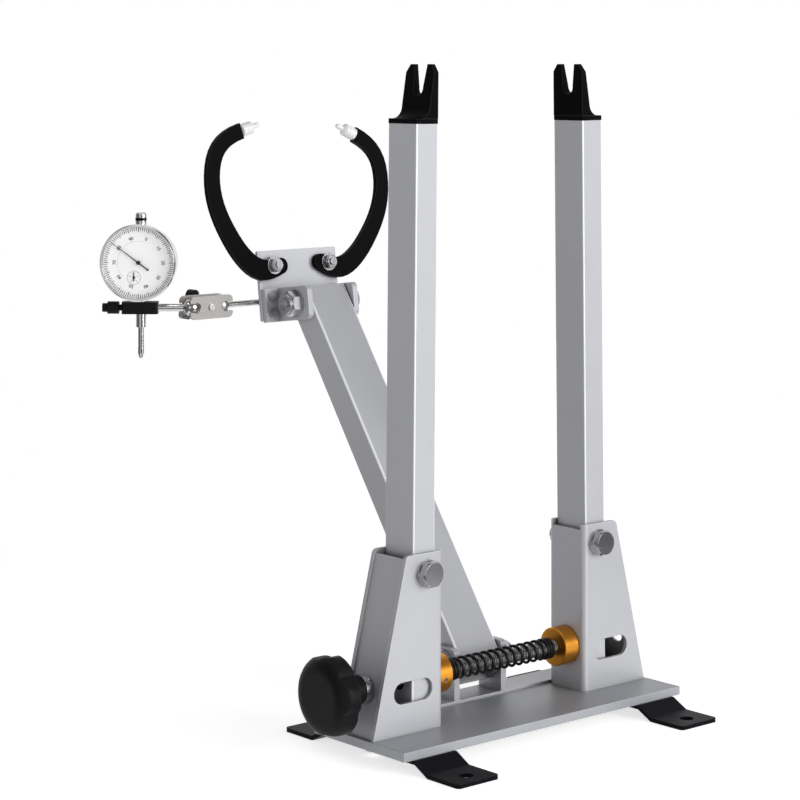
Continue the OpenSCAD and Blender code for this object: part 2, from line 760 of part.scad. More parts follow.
// Fork outline seen from the side of the wheel, y across and z up from the base's top
module axle_slot() {
    bottom = fork_h - axle_slot_depth + axle_slot_r;
    half = axle_slot_mouth / 2;
    low = axle_slot_r - slot_wall_in;
    polygon([[-low, bottom], [low, bottom], [half, fork_h + 1], [-half, fork_h + 1]]);
    translate([0, bottom]) circle(r = axle_slot_r);
}

// Section of the fork seen from the front, x from the inner face outwards
module fork_section() {
    run = tube_w - fork_waist_t - 4;
    polygon(concat([[0, 0], [fork_waist_t + run, 0]],
        [for (i = [0:8]) let (a = 90 * i / 8) [fork_waist_t + run * (1 - sin(a)), fork_flare_h * (1 - cos(a))]],
        [[fork_tip_t, fork_h], [0, fork_h]]));
}

module fork_cap(side) {
    top = tube_lift - pivot_h + tube_len;
    half = tube_d / 2;
    color([0.03, 0.03, 0.035]) upright_frame(side) {
        translate([0, 0, top]) {
            linear_extrude(cap_base_t) round_rect(tube_w + 0.6, tube_d + 0.6, 1.4);
            translate([0, 0, cap_base_t]) intersection() {
                translate([-tube_w / 2, half, 0]) rotate([90, 0, 0]) linear_extrude(tube_d) fork_section();
                translate([-tube_w / 2, 0, 0]) rotate([90, 0, 90]) linear_extrude(tube_w) difference() {
                    polygon([[-half, -eps], [half, -eps], [half, fork_h - fork_bevel * 1.4],
                        [half - fork_bevel, fork_h], [fork_bevel - half, fork_h],
                        [-half, fork_h - fork_bevel * 1.4]]);
                    axle_slot();
                }
            }
            translate([0, 0, -plug_len]) linear_extrude(plug_len + eps)
                square([tube_w - 2 * tube_wall - 0.2, tube_d - 2 * tube_wall - 0.2], center = true);
        }
    }
}

// ---- Centring screw ----

module screw_frame() {
    translate([0, upright_y, rod_z]) children();
}

// Nut body with a cross bore for the rod, and a pin in each end
module trunnion_nut(side) {
    half = nut_body_len / 2;
    color([0.75, 0.75, 0.76]) translate([side * lean_x, upright_y, rod_z]) {
        difference() {
            translate([0, -half, 0]) along_y() cylinder(d = nut_d, h = nut_body_len);
            translate([-nut_d, 0, 0]) along_x() cylinder(r = rod_r + nut_clear, h = 2 * nut_d);
            for (k = [0, 1]) mirror([0, k, 0]) translate([0, half - nut_pin_in, 0]) along_y()
                cylinder(d = trunnion_pin_d - 2, h = nut_pin_in + 1);
        }
        for (k = [0, 1]) mirror([0, k, 0]) {
            translate([0, half, 0]) along_y() cylinder(d = trunnion_pin_d, h = tube_d / 2 - half);
            translate([0, half - nut_pin_in, 0]) along_y()
                cylinder(d = trunnion_pin_d - 2 - 2 * seat_fit, h = nut_pin_in + eps);
        }
    }
}

module screw_rod() {
    color("silver") screw_frame() translate([knob_hub_x - knob_rod_in, 0, 0]) along_x()
        cylinder(r = rod_r, h = rod_end - knob_hub_x + knob_rod_in);
}

module knob_outline() {
    mean = knob_r - knob_scallop / 2;
    polygon([for (i = [0:95]) let (a = 360 * i / 96, w = (1 + cos(knob_lobes * (a - knob_phase))) / 2)
        (mean - knob_scallop / 2 + knob_scallop * pow(w, 0.6)) * [cos(a), sin(a)]]);
}

// The knob is drawn with its outer face up, then turned to face left
module star_knob() {
    edge = knob_r - knob_face_r;
    color([0.04, 0.04, 0.045]) screw_frame() translate([knob_hub_x, 0, 0]) rotate([0, -90, 0]) difference() {
        union() {
            cylinder(d = knob_hub_d, h = knob_hub_len + 1);
            translate([0, 0, knob_hub_len]) intersection() {
                linear_extrude(knob_t) knob_outline();
                rotate_extrude() polygon(concat([[0, 0], [knob_r - 2, 0], [knob_r, 2]],
                    [for (i = [0:8]) let (a = 90 * i / 8)
                        [knob_face_r + edge * cos(a), knob_t - edge + edge * sin(a)]], [[0, knob_t]]));
            }
        }
        translate([0, 0, -1]) cylinder(r = rod_r + seat_fit, h = knob_rod_in + 1);
    }
}

module knob_washer() {
    color("silver") screw_frame() translate([knob_hub_x, 0, 0]) along_x()
        washer(knob_hub_d / 2, rod_r + seat_fit, knob_washer_t);
}

module collar(side) {
    color([0.85, 0.5, 0.1]) screw_frame() on_side(side) difference() {
        translate([collar_in, 0, 0]) along_x() rotate_extrude() polygon([[rod_r + seat_fit, 0],
            [collar_d / 2 - 0.8, 0], [collar_d / 2, 0.8], [collar_d / 2, collar_len - 0.8],
            [collar_d / 2 - 0.8, collar_len], [rod_r + seat_fit, collar_len]]);
        translate([collar_in + collar_len / 2, 0, 0]) set_screw_turn(side) translate([0, 0, -1])
            cylinder(r = set_screw_r + seat_fit, h = collar_d);
    }
}

// The left set screw points down and to the front, the right one to the back
module set_screw_turn(side) {
    rotate([side < 0 ? set_screw_a : set_screw_a + set_screw_step, 0, 0]) children();
}

module collar_set_screws() {
    color("silver") screw_frame() for (s = [-1, 1]) on_side(s)
        translate([collar_in + collar_len / 2, 0, 0]) set_screw_turn(s) difference() {
            translate([0, 0, rod_r + seat_fit]) cylinder(r = set_screw_r, h = collar_d / 2 - rod_r - 0.4);
            translate([0, 0, collar_d / 2 - 2.5]) hexagon(set_screw_af, 5);
        }
}

module tension_spring() {
    color([0.05, 0.05, 0.05]) screw_frame() polyhedron(points = wire_points, faces = wire_faces, convexity = 10);
}

// ---- Rear arm ----

module arm_bracket() {
    color([0.78, 0.79, 0.8]) difference() {
        union() {
            translate([-strip_half, arm_pivot_y - lug_d / 2, plate_top]) cube([2 * strip_half, lug_d, strip_t]);
            for (s = [0, 1]) mirror([s, 0, 0]) translate([lug_x, arm_pivot_y, plate_top]) rotate([90, 0, 90])
                linear_extrude(lug_t) polygon(concat([[-lug_d / 2, 0], [lug_d / 2, 0]],
                    arc([lug_d / 2 - lug_corner_r, lug_h - lug_corner_r], lug_corner_r, 0, 90),
                    arc([lug_corner_r - lug_d / 2, lug_h - lug_corner_r], lug_corner_r, 90, 180)));
        }
        arm_pivot_bore();
        screw_holes(plate_top - 1, strip_t + 2);
    }
}

module arm_pivot_bore() {
    translate([-lug_x - lug_t - 1, arm_pivot_y, arm_pivot_z]) along_x()
        cylinder(r = pivot_r + run_fit, h = 2 * (lug_x + lug_t + 1));
}

// Bolt with its washers and lock nut, along +X through both lugs
module arm_pivot_bolt() {
    grip = lug_x + lug_t + washer_t_m10;
    color("silver") translate([0, arm_pivot_y, arm_pivot_z]) cross_bolt(grip);
    color("silver") translate([0, arm_pivot_y, arm_pivot_z]) {
        cross_washers(grip);
        translate([grip, 0, 0]) along_x() lock_nut(AF_M10, pivot_r, nut_t_m10);
    }
}

module cross_bolt(grip) {
    translate([-grip, 0, 0]) {
        rotate([0, -90, 0]) hex_head(AF_M10, head_t_m10);
        translate([-eps, 0, 0]) along_x() cylinder(r = pivot_r, h = 2 * grip + nut_t_m10 + 1.5);
    }
}

module cross_washers(grip) {
    for (k = [0, 1]) mirror([k, 0, 0]) translate([grip - washer_t_m10, 0, 0]) along_x()
        washer(washer_r_m10, pivot_r + hole_fit, washer_t_m10);
}

module arm_frame() {
    translate([0, arm_pivot_y, arm_pivot_z]) rotate([-arm_lean, 0, 0]) children();
}

module arm() {
    color([0.8, 0.81, 0.83]) arm_frame() difference() {
        translate([0, 0, -arm_tail]) linear_extrude(arm_tail + arm_len + arm_nose) round_rect(arm_w, arm_d, 2);
        translate([0, 0, -arm_tail - 1]) linear_extrude(arm_tail + arm_len + arm_nose + 2)
            square([arm_w - 2 * arm_wall, arm_d - 2 * arm_wall], center = true);
        for (z = [0, arm_len]) translate([-arm_w, 0, z]) along_x() cylinder(r = pivot_r + run_fit, h = 2 * arm_w);
    }
}

module arm_sleeve() {
    len = arm_w - 2 * arm_wall;
    color([0.25, 0.25, 0.26]) arm_frame() for (z = [0, arm_len]) translate([-len / 2, 0, z]) along_x()
        washer(sleeve_r, pivot_r + run_fit, len);
}

// ---- Head ----

// Frame of the head: x right, y back through the plate, z up along it
module head_frame() {
    translate(head_pivot) rotate([-head_lean, 0, 0]) children();
}

module head_plate() {
    color([0.8, 0.81, 0.83]) head_frame() difference() {
        translate([0, head_reach, head_h / 2 - head_drop]) along_y() linear_extrude(head_t)
            round_rect(head_w, head_h, 1.5);
        for (s = [-1, 1]) {
            translate([s * caliper_x, head_reach - 1, caliper_bolt_z]) along_y()
                cylinder(r = caliper_bolt_r + hole_fit, h = head_t + 2);
            for (w = ear_screw_w) translate([s * ear_screw_x, head_reach - 1, w]) along_y()
                cylinder(r = m4_r + seat_fit, h = head_t + 2);
        }
        for (w = rod_block_screws) translate([-block_screw_x, head_reach - 1, w + holder_w]) along_y()
            cylinder(r = m4_r + seat_fit, h = head_t + 2);
    }
}

// Ear folded from one strip: a cheek beside the arm and a leg flat on the plate
module ear(side) {
    low = -ear_h / 2;
    color([0.8, 0.81, 0.83]) head_frame() on_side(side) difference() {
        union() {
            translate([ear_x, 0, 0]) rotate([90, 0, 90]) linear_extrude(ear_t) polygon(concat(
                [[head_reach, low], [head_reach, low + ear_h]],
                arc([ear_corner_r - ear_front, low + ear_h - ear_corner_r], ear_corner_r, 90, 180),
                arc([ear_corner_r - ear_front, low + ear_corner_r], ear_corner_r, 180, 270)));
            translate([ear_out - eps, head_reach - ear_t, low]) cube([ear_leg_w + eps, ear_t, ear_h]);
        }
        along_x() cylinder(r = pivot_r + run_fit, h = ear_out + 1);
        for (w = ear_screw_w) translate([ear_screw_x, head_reach - ear_t - 1, w]) along_y()
            cylinder(r = m4_r + hole_fit, h = ear_t + 2);
    }
}

// Small screw along +Y with a flat round head at the front
module m4_screw(grip) {
    mirror([0, 1, 0]) along_y() cylinder(r = m4_head_r, h = m4_head_t);
    translate([0, -eps, 0]) along_y() cylinder(r = m4_r, h = grip);
}

module head_screws() {
    block_head = head_reach + head_t + rod_block_t;
    color("silver") head_frame() {
        for (s = [-1, 1], w = ear_screw_w) translate([s * ear_screw_x, head_reach - ear_t, w])
            m4_screw(ear_t + head_t);
        for (w = rod_block_screws) translate([-block_screw_x, block_head, w + holder_w]) mirror([0, 1, 0])
            m4_screw(rod_block_t + head_t);
    }
}

module head_pivot_bolt() {
    color("silver") head_frame() mirror([1, 0, 0]) {
        cross_bolt(ear_out + washer_t_m10);
        cross_washers(ear_out + washer_t_m10);
    }
}

module head_pivot_nut() {
    color("silver") head_frame() translate([-ear_out - washer_t_m10, 0, 0]) rotate([0, -90, 0])
        lock_nut(AF_M10, pivot_r, nut_t_m10);
}

module rod_clamp() {
    back = head_reach + head_t;
    color([0.3, 0.3, 0.31]) head_frame() difference() {
        translate([-rod_block_out, back, holder_w - rod_block_h / 2])
            cube([rod_block_len, rod_block_t, rod_block_h]);
        translate([-rod_block_out - 1, holder_u, holder_w]) along_x()
            cylinder(d = gauge_rod_d + 2 * seat_fit, h = rod_block_len + 2);
        for (w = rod_block_screws) translate([-block_screw_x, back - 1, w + holder_w]) along_y()
            cylinder(r = m4_r + hole_fit, h = rod_block_t + 2);
    }
}

// ---- Caliper arms ----

// Place of a caliper arm: bolt at the head's plate, swing about the bolt
module caliper_frame(side) {
    swing = side < 0 ? caliper_left_swing : -caliper_right_swing;
    head_frame() on_side(side) translate([caliper_x, 0, caliper_bolt_z]) rotate([0, -swing, 0]) children();
}

module caliper_outline() {
    polygon(concat(cal_right_edge,
        [for (i = [len(cal_left_edge) - 1:-1:0]) cal_left_edge[i]],
        arc(CAL_LINE[0][0], caliper_end_w / 2, cal_start_a + 90, cal_start_a + 270)));
}

module caliper(side) {
    color([0.03, 0.03, 0.035]) caliper_frame(side) difference() {
        translate([0, caliper_back, 0]) rotate([90, 0, 0]) linear_extrude(caliper_t) caliper_outline();
        translate([0, caliper_front - 1, 0]) along_y() cylinder(r = caliper_bolt_r + run_fit, h = caliper_t + 2);
        tip_frame() translate([0, 0, -spigot_len - 1]) cylinder(r = spigot_r + seat_fit, h = spigot_len + 2);
    }
}

// Frame of a caliper tip: z points out of the arm's end
module tip_frame() {
    translate([cal_end[0], (caliper_front + caliper_back) / 2, cal_end[1]]) rotate([0, 90 - cal_end_a, 0]) children();
}

module tip(side) {
    shoulder = 2;
    color([0.92, 0.92, 0.9]) caliper_frame(side) tip_frame() rotate_extrude() polygon(concat(
        [[0, -spigot_len], [spigot_r, -spigot_len], [spigot_r, 0], [tip_d / 2, 0], [tip_d / 2, tip_len - shoulder],
        [feeler_d / 2 + 0.6, tip_len], [feeler_d / 2, tip_len]],
        arc([0, tip_len + feeler_len - feeler_d / 2], feeler_d / 2, 0, 90)));
}

// Bolt from behind the plate, through the arm's inner end
module caliper_bolt(side) {
    back = head_reach + head_t;
    front = caliper_front - caliper_washer_t - caliper_nut_t - caliper_bolt_past;
    color("silver") head_frame() on_side(side) translate([caliper_x, 0, caliper_bolt_z]) {
        translate([0, back, 0]) along_y() hex_head(AF_M6, caliper_head_t);
        translate([0, front, 0]) along_y() cylinder(r = caliper_bolt_r, h = back - front + eps);
    }
}

// Lock nut with the washers in front of and behind the arm
module caliper_nut(side) {
    color("silver") head_frame() on_side(side) translate([caliper_x, 0, caliper_bolt_z]) {
        for (u = [caliper_front - caliper_washer_t, caliper_back]) translate([0, u, 0]) along_y()
            washer(caliper_washer_r, caliper_bolt_r + seat_fit, caliper_washer_t);
        translate([0, caliper_front - caliper_washer_t, 0]) mirror([0, 1, 0]) along_y()
            lock_nut(AF_M6, caliper_bolt_r, caliper_nut_t);
    }
}

// ---- Gauge holder ----

module holder_frame(x) {
    translate([x, holder_y, holder_z]) children();
}

module gauge_rod() {
    end_x = -rod_block_out + rod_block_len + 2;
    color("silver") {
        holder_frame(ball_head_x) rotate(90) sphere(r = ball_r);
        holder_frame(ball_head_x) along_x() cylinder(d = gauge_rod_d, h = end_x - ball_head_x);
    }
}

// Frame of the carrier rod: origin at its ball, with the rod along negative x
module carrier_frame(x) {
    holder_frame(ball_clamp_x) rotate([0, 0, -carrier_yaw]) translate([x, 0, 0]) children();
}

module carrier_rod() {
    color("silver") {
        carrier_frame(0) sphere(r = ball_r);
        carrier_frame(clamp_in_x - carrier_in) along_x() cylinder(d = carrier_d, h = carrier_in - clamp_in_x);
    }
}

module swivel_plate(dir) {
    color([0.55, 0.53, 0.52]) holder_frame(-swivel_x) mirror([0, dir < 0 ? 1 : 0, 0]) translate([0, swivel_in, 0])
        along_y() difference() {
            linear_extrude(swivel_t) round_rect(swivel_len, swivel_h, 4);
            for (x = [-1, 1]) translate([x * ball_spacing / 2, 0, -1]) cylinder(r = seat_r, h = swivel_t + 2);
            for (x = [-1, 1]) translate([x * (ball_spacing / 2 + seat_r), 0, swivel_t / 2])
                cube([2 * seat_r, carrier_d + 1, swivel_t + 2], center = true);
            translate([0, 0, -1]) cylinder(r = swivel_screw_r + hole_fit, h = swivel_t + 2);
        }
}

module swivel_screw() {
    out = swivel_in + swivel_t;
    color("silver") holder_frame(-swivel_x) {
        translate([0, -out - swivel_head_t, 0]) along_y() cylinder(r = swivel_head_r, h = swivel_head_t);
        translate([0, -out - eps, 0]) along_y() cylinder(r = swivel_screw_r, h = 2 * out + swivel_knob_out + 4);
    }
}

// Wing knob behind the swivel: a round hub with one bar of two wings
module swivel_knob() {
    start = swivel_in + swivel_t;
    color([0.04, 0.04, 0.045]) holder_frame(-swivel_x) translate([0, start, 0]) along_y() difference() {
        union() {
            cylinder(r = 5.5, h = swivel_knob_out);
            translate([0, 0, swivel_knob_out - eps]) linear_extrude(wing_w)
                rotate(90 + wing_lean) round_rect(wing_len, wing_t, wing_t / 2 - eps);
        }
        translate([0, 0, -1]) cylinder(r = swivel_screw_r + seat_fit, h = swivel_knob_out + 5.5);
    }
}

module gauge_clamp() {
    mid = (clamp_out_x + clamp_in_x) / 2;
    color([0.04, 0.04, 0.045]) difference() {
        carrier_frame(mid) translate([0, 0, -clamp_h / 2]) linear_extrude(clamp_h) round_rect(clamp_len, clamp_w, 2);
        carrier_frame(-stem_reach) translate([0, 0, -clamp_h]) cylinder(r = stem_r + seat_fit, h = 2 * clamp_h);
        carrier_frame(clamp_in_x - carrier_in) along_x() cylinder(d = carrier_d + 2 * seat_fit, h = carrier_in + 1);
        carrier_frame(clamp_out_x - 1) along_x()
            cylinder(r = clamp_screw_r + seat_fit, h = clamp_len - clamp_inner + 1);
    }
}

module clamp_screw() {
    tip_x = -stem_reach - stem_r - screw_tip_gap;
    head_x = clamp_out_x - thread_show;
    color([0.04, 0.04, 0.045]) {
        carrier_frame(head_x - eps) along_x() cylinder(r = clamp_screw_r, h = tip_x - head_x + eps);
        carrier_frame(head_x - thumb_len) along_x() cylinder(r = thumb_r, h = thumb_len);
        carrier_frame(head_x - thumb_len - thumb_tail_len) along_x()
            cylinder(r = thumb_tail_r, h = thumb_tail_len + eps);
    }
}

// ---- Dial gauge ----

// Frame of the dial: x right, y up, z out of the dial's face
module dial_frame() {
    stem_frame() rotate([0, 0, -dial_yaw]) rotate([90, 0, 0]) children();
}

module stem_frame() {
    translate([stem_place[0], stem_place[1], dial_z]) children();
}

module gauge_case() {
    stem_low = -dial_h - stem_drop;
    color([0.7, 0.7, 0.72]) difference() {
        union() {
            dial_frame() translate([0, 0, -case_back]) cylinder(r = case_r, h = case_back + case_shoulder);
            dial_frame() translate([0, 0, case_shoulder - eps])
                cylinder(r = neck_r, h = face_z + face_t - case_shoulder + eps);
            stem_frame() translate([0, 0, stem_low]) cylinder(r = stem_r, h = -stem_low - cavity_r);
        }
        dial_frame() translate([0, 0, case_floor - case_back]) cylinder(r = cavity_r, h = case_back + face_z);
        dial_frame() translate([0, 0, face_z]) cylinder(r = face_r + seat_fit, h = face_t + 1);
        stem_frame() translate([0, 0, stem_low - 1]) cylinder(r = plunger_r + run_fit, h = -stem_low - cavity_r + 6);
    }
}

// Round cap on a short neck that stands on top of the case
module gauge_cap() {
    foot = sqrt(case_r * case_r - cap_d * cap_d / 4) + 0.1;
    color([0.7, 0.7, 0.72]) stem_frame() difference() {
        rotate_extrude() polygon(concat([[0, foot], [cap_d / 2 - 0.5, foot], [cap_d / 2 - 0.5, foot + cap_neck_h],
            [cap_d / 2, foot + cap_neck_h]],
            arc([cap_d / 2 - 2, foot + cap_h - 2], 2, 0, 90), [[0, foot + cap_h]]));
        rotate([0, 0, -dial_yaw]) rotate([90, 0, 0]) translate([0, 0, -case_back])
            cylinder(r = case_r + seat_fit, h = case_back + case_shoulder);
    }
}

module dial_face() {
    color([0.93, 0.93, 0.92]) dial_frame() difference() {
        translate([0, 0, face_z]) cylinder(r = face_r, h = face_t);
        translate([0, 0, face_z - 1]) cylinder(r = hand_pin_r + hole_fit, h = face_t + 2);
        small_dial_place() translate([0, 0, face_z - 1]) cylinder(r = hand_pin_r + hole_fit, h = face_t + 2);
    }
}

module small_dial_place() {
    translate(small_dial_r * [cos(small_dial_a), sin(small_dial_a), 0]) children();
}

module scale_ring() {
    color([0.93, 0.93, 0.92]) dial_frame() translate([0, 0, scale_z])
        washer(window_r - seat_fit, scale_in_r, scale_t);
}

module bezel() {
    low = case_shoulder + move_gap;
    top = crystal_z + crystal_t + 1;
    color([0.75, 0.75, 0.76]) dial_frame() rotate_extrude() polygon([[bezel_in_r, low], [bezel_r - 0.8, low],
        [bezel_r, low + 0.8], [bezel_r, top - 1.2], [bezel_r - 1, top], [bezel_lip_r, top],
        [bezel_lip_r, crystal_z + crystal_t], [crystal_r + seat_fit, crystal_z + crystal_t],
        [crystal_r + seat_fit, crystal_z], [window_r, crystal_z], [window_r, scale_z], [bezel_in_r, scale_z]]);
}

module crystal() {
    color([0.8, 0.85, 0.9, 0.4]) dial_frame() translate([0, 0, crystal_z]) cylinder(r = crystal_r, h = crystal_t);
}

// A hand with a tail, a hub and a pin that turns in the dial face; drawn pointing up
module hand(length, tail, width, hub, z, hub_t) {
    translate([0, 0, z]) linear_extrude(hand_t)
        polygon([[-width / 2, -tail], [width / 2, -tail], [width / 2, 0], [0.15, length], [-0.15, length], [-width / 2, 0]]);
    translate([0, 0, z - eps]) cylinder(r = hub, h = hub_t);
    translate([0, 0, face_z - hand_pin_in]) cylinder(r = hand_pin_r, h = z - face_z + hand_pin_in);
}

module pointer() {
    color([0.02, 0.02, 0.02]) dial_frame() rotate(big_hand_a) {
        hand(hand_len, hand_tail, hand_w, hub_r, big_hand_z, 0.9);
        translate([0, -hand_tail, big_hand_z]) cylinder(r = hand_w * 0.9, h = hand_t);
    }
}

module small_pointer() {
    color([0.02, 0.02, 0.02]) dial_frame() small_dial_place() hand(small_hand_len, 2.6, 0.8, 1, small_hand_z, hand_t);
}

module plunger() {
    stem_low = -dial_h - stem_drop;
    low = stem_low - plunger_out;
    point_r = plunger_r + 0.15;
    color("silver") stem_frame() {
        translate([0, 0, low]) cylinder(r = plunger_r, h = plunger_top - low);
        translate([0, 0, low - contact_len]) rotate_extrude() polygon(concat([[0, 0]],
            arc([0, 1.6], 1.6, -60, 0), [[point_r, contact_len * 0.5], [point_r, contact_len + eps], [0, contact_len + eps]]));
    }
}

// ---- What is drawn ----

base_plate();
foot_strip(-1);  // foot_strip_left
foot_strip(1);  // foot_strip_right
bracket(-1);  // bracket_left
bracket(1);  // bracket_right
bracket_cover(-1);  // bracket_cover_left
bracket_cover(1);  // bracket_cover_right
base_screws();
arm_bracket();
pivot_bolts();
pivot_nuts();
arm_pivot_bolt();
upright(-1);  // upright_left
upright(1);  // upright_right
fork_cap(-1);  // fork_cap_left
fork_cap(1);  // fork_cap_right
trunnion_nut(-1);  // trunnion_nut_left
trunnion_nut(1);  // trunnion_nut_right
screw_rod();
star_knob();
knob_washer();
collar(-1);  // collar_left
collar(1);  // collar_right
collar_set_screws();
tension_spring();
arm();
arm_sleeve();
head_plate();
ear(-1);  // ear_left
ear(1);  // ear_right
head_screws();
head_pivot_bolt();
head_pivot_nut();
rod_clamp();
gauge_rod();
caliper_bolt(-1);  // caliper_bolt_left
caliper_bolt(1);  // caliper_bolt_right
caliper_nut(-1);  // caliper_nut_left
caliper_nut(1);  // caliper_nut_right
caliper(-1);  // caliper_left
caliper(1);  // caliper_right
tip(-1);  // tip_left
tip(1);  // tip_right
swivel_plate(-1);  // swivel_plate_front
swivel_plate(1);  // swivel_plate_back
swivel_screw();
swivel_knob();
carrier_rod();
gauge_clamp();
clamp_screw();
gauge_case();
gauge_cap();
dial_face();
scale_ring();
bezel();
crystal();
pointer();
small_pointer();
plunger();
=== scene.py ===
# %% [markdown]
# # A bicycle wheel truing stand
#
# The solid shapes of this stand were drawn as CAD and arrive here as a fixed frame: painted
# steel, a black star knob, two orange gold collars, a dial gauge. This lesson gives each of
# them its finish, adds the finer pieces that the eye expects, and sets up a plain studio.

# %% Load the frame
from math import atan2, cos, pi, radians, sin

import bmesh
import bpy
from mathutils import Matrix, Vector


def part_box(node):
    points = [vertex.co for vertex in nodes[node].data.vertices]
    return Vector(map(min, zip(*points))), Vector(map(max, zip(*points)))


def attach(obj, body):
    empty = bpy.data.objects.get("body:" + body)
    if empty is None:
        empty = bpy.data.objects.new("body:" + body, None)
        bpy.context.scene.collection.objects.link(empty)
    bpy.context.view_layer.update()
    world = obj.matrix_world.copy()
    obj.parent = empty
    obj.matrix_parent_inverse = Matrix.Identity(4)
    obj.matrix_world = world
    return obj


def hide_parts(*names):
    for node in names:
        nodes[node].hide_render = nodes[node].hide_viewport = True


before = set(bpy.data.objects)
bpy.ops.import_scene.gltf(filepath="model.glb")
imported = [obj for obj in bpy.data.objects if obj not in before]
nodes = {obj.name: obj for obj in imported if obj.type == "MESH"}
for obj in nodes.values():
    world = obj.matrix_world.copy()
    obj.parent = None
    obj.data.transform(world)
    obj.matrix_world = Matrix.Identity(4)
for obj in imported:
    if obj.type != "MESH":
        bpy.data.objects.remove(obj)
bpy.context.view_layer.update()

MM = 0.001
print("solid pieces loaded:", len(nodes))

# %% [markdown]
# ## The camera
#
# The stand is seen from the front left, from about its own height, with the camera held
# level. A level camera keeps the uprights upright in the picture, and the lens is shifted
# down instead of tilting it. That is how a product photographer would take it.

# %% Camera
VIEW_X, VIEW_Y = 0.653, 0.757
VIEW_YAW = -atan2(VIEW_X, VIEW_Y)
camera_data = bpy.data.cameras.new("camera")
camera = bpy.data.objects.new("camera", camera_data)
bpy.context.scene.collection.objects.link(camera)
camera.location = (-1.1952, -1.2729, 0.4755)
camera.rotation_euler = (radians(90), 0, VIEW_YAW)
camera_data.sensor_width = 36
camera_data.lens = 109.5
camera_data.shift_y = -0.421
camera_data.clip_start = 0.05
camera_data.clip_end = 60
bpy.context.scene.camera = camera
print("lens:", camera_data.lens, "mm, shifted by", camera_data.shift_y)

# %% [markdown]
# ## Small tools for node trees
#
# Every finish below is a tree of shader nodes. Four short helpers keep the trees readable:
# one adds a node and sets its inputs, one does a sum, one maps a range of values onto
# another, and one starts a node group.

# %% Node helpers
def add_node(tree, kind, props=None, **inputs):
    node = tree.nodes.new(kind)
    for name, value in (props or {}).items():
        setattr(node, name, value)
    for name, value in inputs.items():
        socket = node.inputs[name.replace("_", " ")]
        if isinstance(value, bpy.types.NodeSocket):
            tree.links.new(value, socket)
        else:
            socket.default_value = value
    return node


def maths(tree, operation, a, b=0.0):
    node = add_node(tree, "ShaderNodeMath", {"operation": operation})
    for socket, value in zip(node.inputs, (a, b)):
        if isinstance(value, bpy.types.NodeSocket):
            tree.links.new(value, socket)
        else:
            socket.default_value = value
    return node.outputs[0]


def spread(tree, value, low, high, to_low, to_high):
    node = add_node(tree, "ShaderNodeMapRange", Value=value)
    ends = {"From Min": low, "From Max": high, "To Min": to_low, "To Max": to_high}
    for name, end in ends.items():
        node.inputs[name].default_value = end
    return node.outputs[0]


def new_group(name, inputs, outputs):
    group = bpy.data.node_groups.new(name, "ShaderNodeTree")
    for label, kind, value in inputs:
        socket = group.interface.new_socket(label, in_out="INPUT", socket_type=kind)
        if value is not None:
            socket.default_value = value
    for label, kind in outputs:
        group.interface.new_socket(label, in_out="OUTPUT", socket_type=kind)
    given = group.nodes.new("NodeGroupInput").outputs
    result = group.nodes.new("NodeGroupOutput").inputs
    return group, given, result


print("node helpers ready")

# %% [markdown]
# ## The studio: a white floor and soft light
#
# The photograph has no visible room, only white and a soft shadow. The floor is a real
# surface, so it keeps the shadow, and it glows a little for the camera so that it meets the
# white world without a line. The paper ends just in front of the stand, as it would in a
# studio: bare metal then mirrors the darker room there, and a bolt gets its dark edges. A
# broad sun from the front right makes the front faces the lightest. A weak light from the
# left keeps the left faces mid grey, and the dim ceiling keeps the tops darker than both.

# %% Floor
FLOOR_GLOW = 0.70
PAPER_DEPTH = 0.9
PAPER_WIDTH = 2.6
PAPER_BEYOND = 1.1
bm = bmesh.new()
bmesh.ops.create_grid(bm, x_segments=1, y_segments=1, size=1)
bmesh.ops.scale(bm, verts=bm.verts, vec=(PAPER_DEPTH / 2, PAPER_WIDTH / 2, 1))
floor_mesh = bpy.data.meshes.new("floor")
bm.to_mesh(floor_mesh)
bm.free()
floor = bpy.data.objects.new("floor", floor_mesh)
bpy.context.scene.collection.objects.link(floor)
floor.rotation_euler = (0, 0, VIEW_YAW)
floor.location = (PAPER_BEYOND * VIEW_X, PAPER_BEYOND * VIEW_Y, 0)
floor_paint = bpy.data.materials.new("white_paper")
floor_paint.use_nodes = True
tree = floor_paint.node_tree
tree.nodes.clear()
path = add_node(tree, "ShaderNodeLightPath").outputs
mirror_ray = maths(tree, "MAXIMUM", path["Is Glossy Ray"], path["Is Transmission Ray"])
seen = maths(tree, "MAXIMUM", path["Is Camera Ray"], mirror_ray)
matte = add_node(tree, "ShaderNodeBsdfDiffuse", Color=(0.9, 0.9, 0.9, 1)).outputs[0]
strength = maths(tree, "MULTIPLY", seen, FLOOR_GLOW)
glow = add_node(tree, "ShaderNodeEmission", Color=(1, 1, 1, 1), Strength=strength).outputs[0]
both = add_node(tree, "ShaderNodeAddShader")
tree.links.new(matte, both.inputs[0])
tree.links.new(glow, both.inputs[1])
add_node(tree, "ShaderNodeOutputMaterial", Surface=both.outputs[0])
floor_mesh.materials.append(floor_paint)
print("floor:", floor.dimensions[:2], "m")

# %% World and sun
world = bpy.data.worlds.new("studio")
bpy.context.scene.world = world
world.use_nodes = True
tree = world.node_tree
tree.nodes.clear()
path = add_node(tree, "ShaderNodeLightPath").outputs
place = add_node(tree, "ShaderNodeTexCoord").outputs["Generated"]


def towards(direction):
    dot = add_node(tree, "ShaderNodeVectorMath", {"operation": "DOT_PRODUCT"})
    tree.links.new(place, dot.inputs[0])
    dot.inputs[1].default_value = Vector(direction).normalized()
    return dot.outputs["Value"]


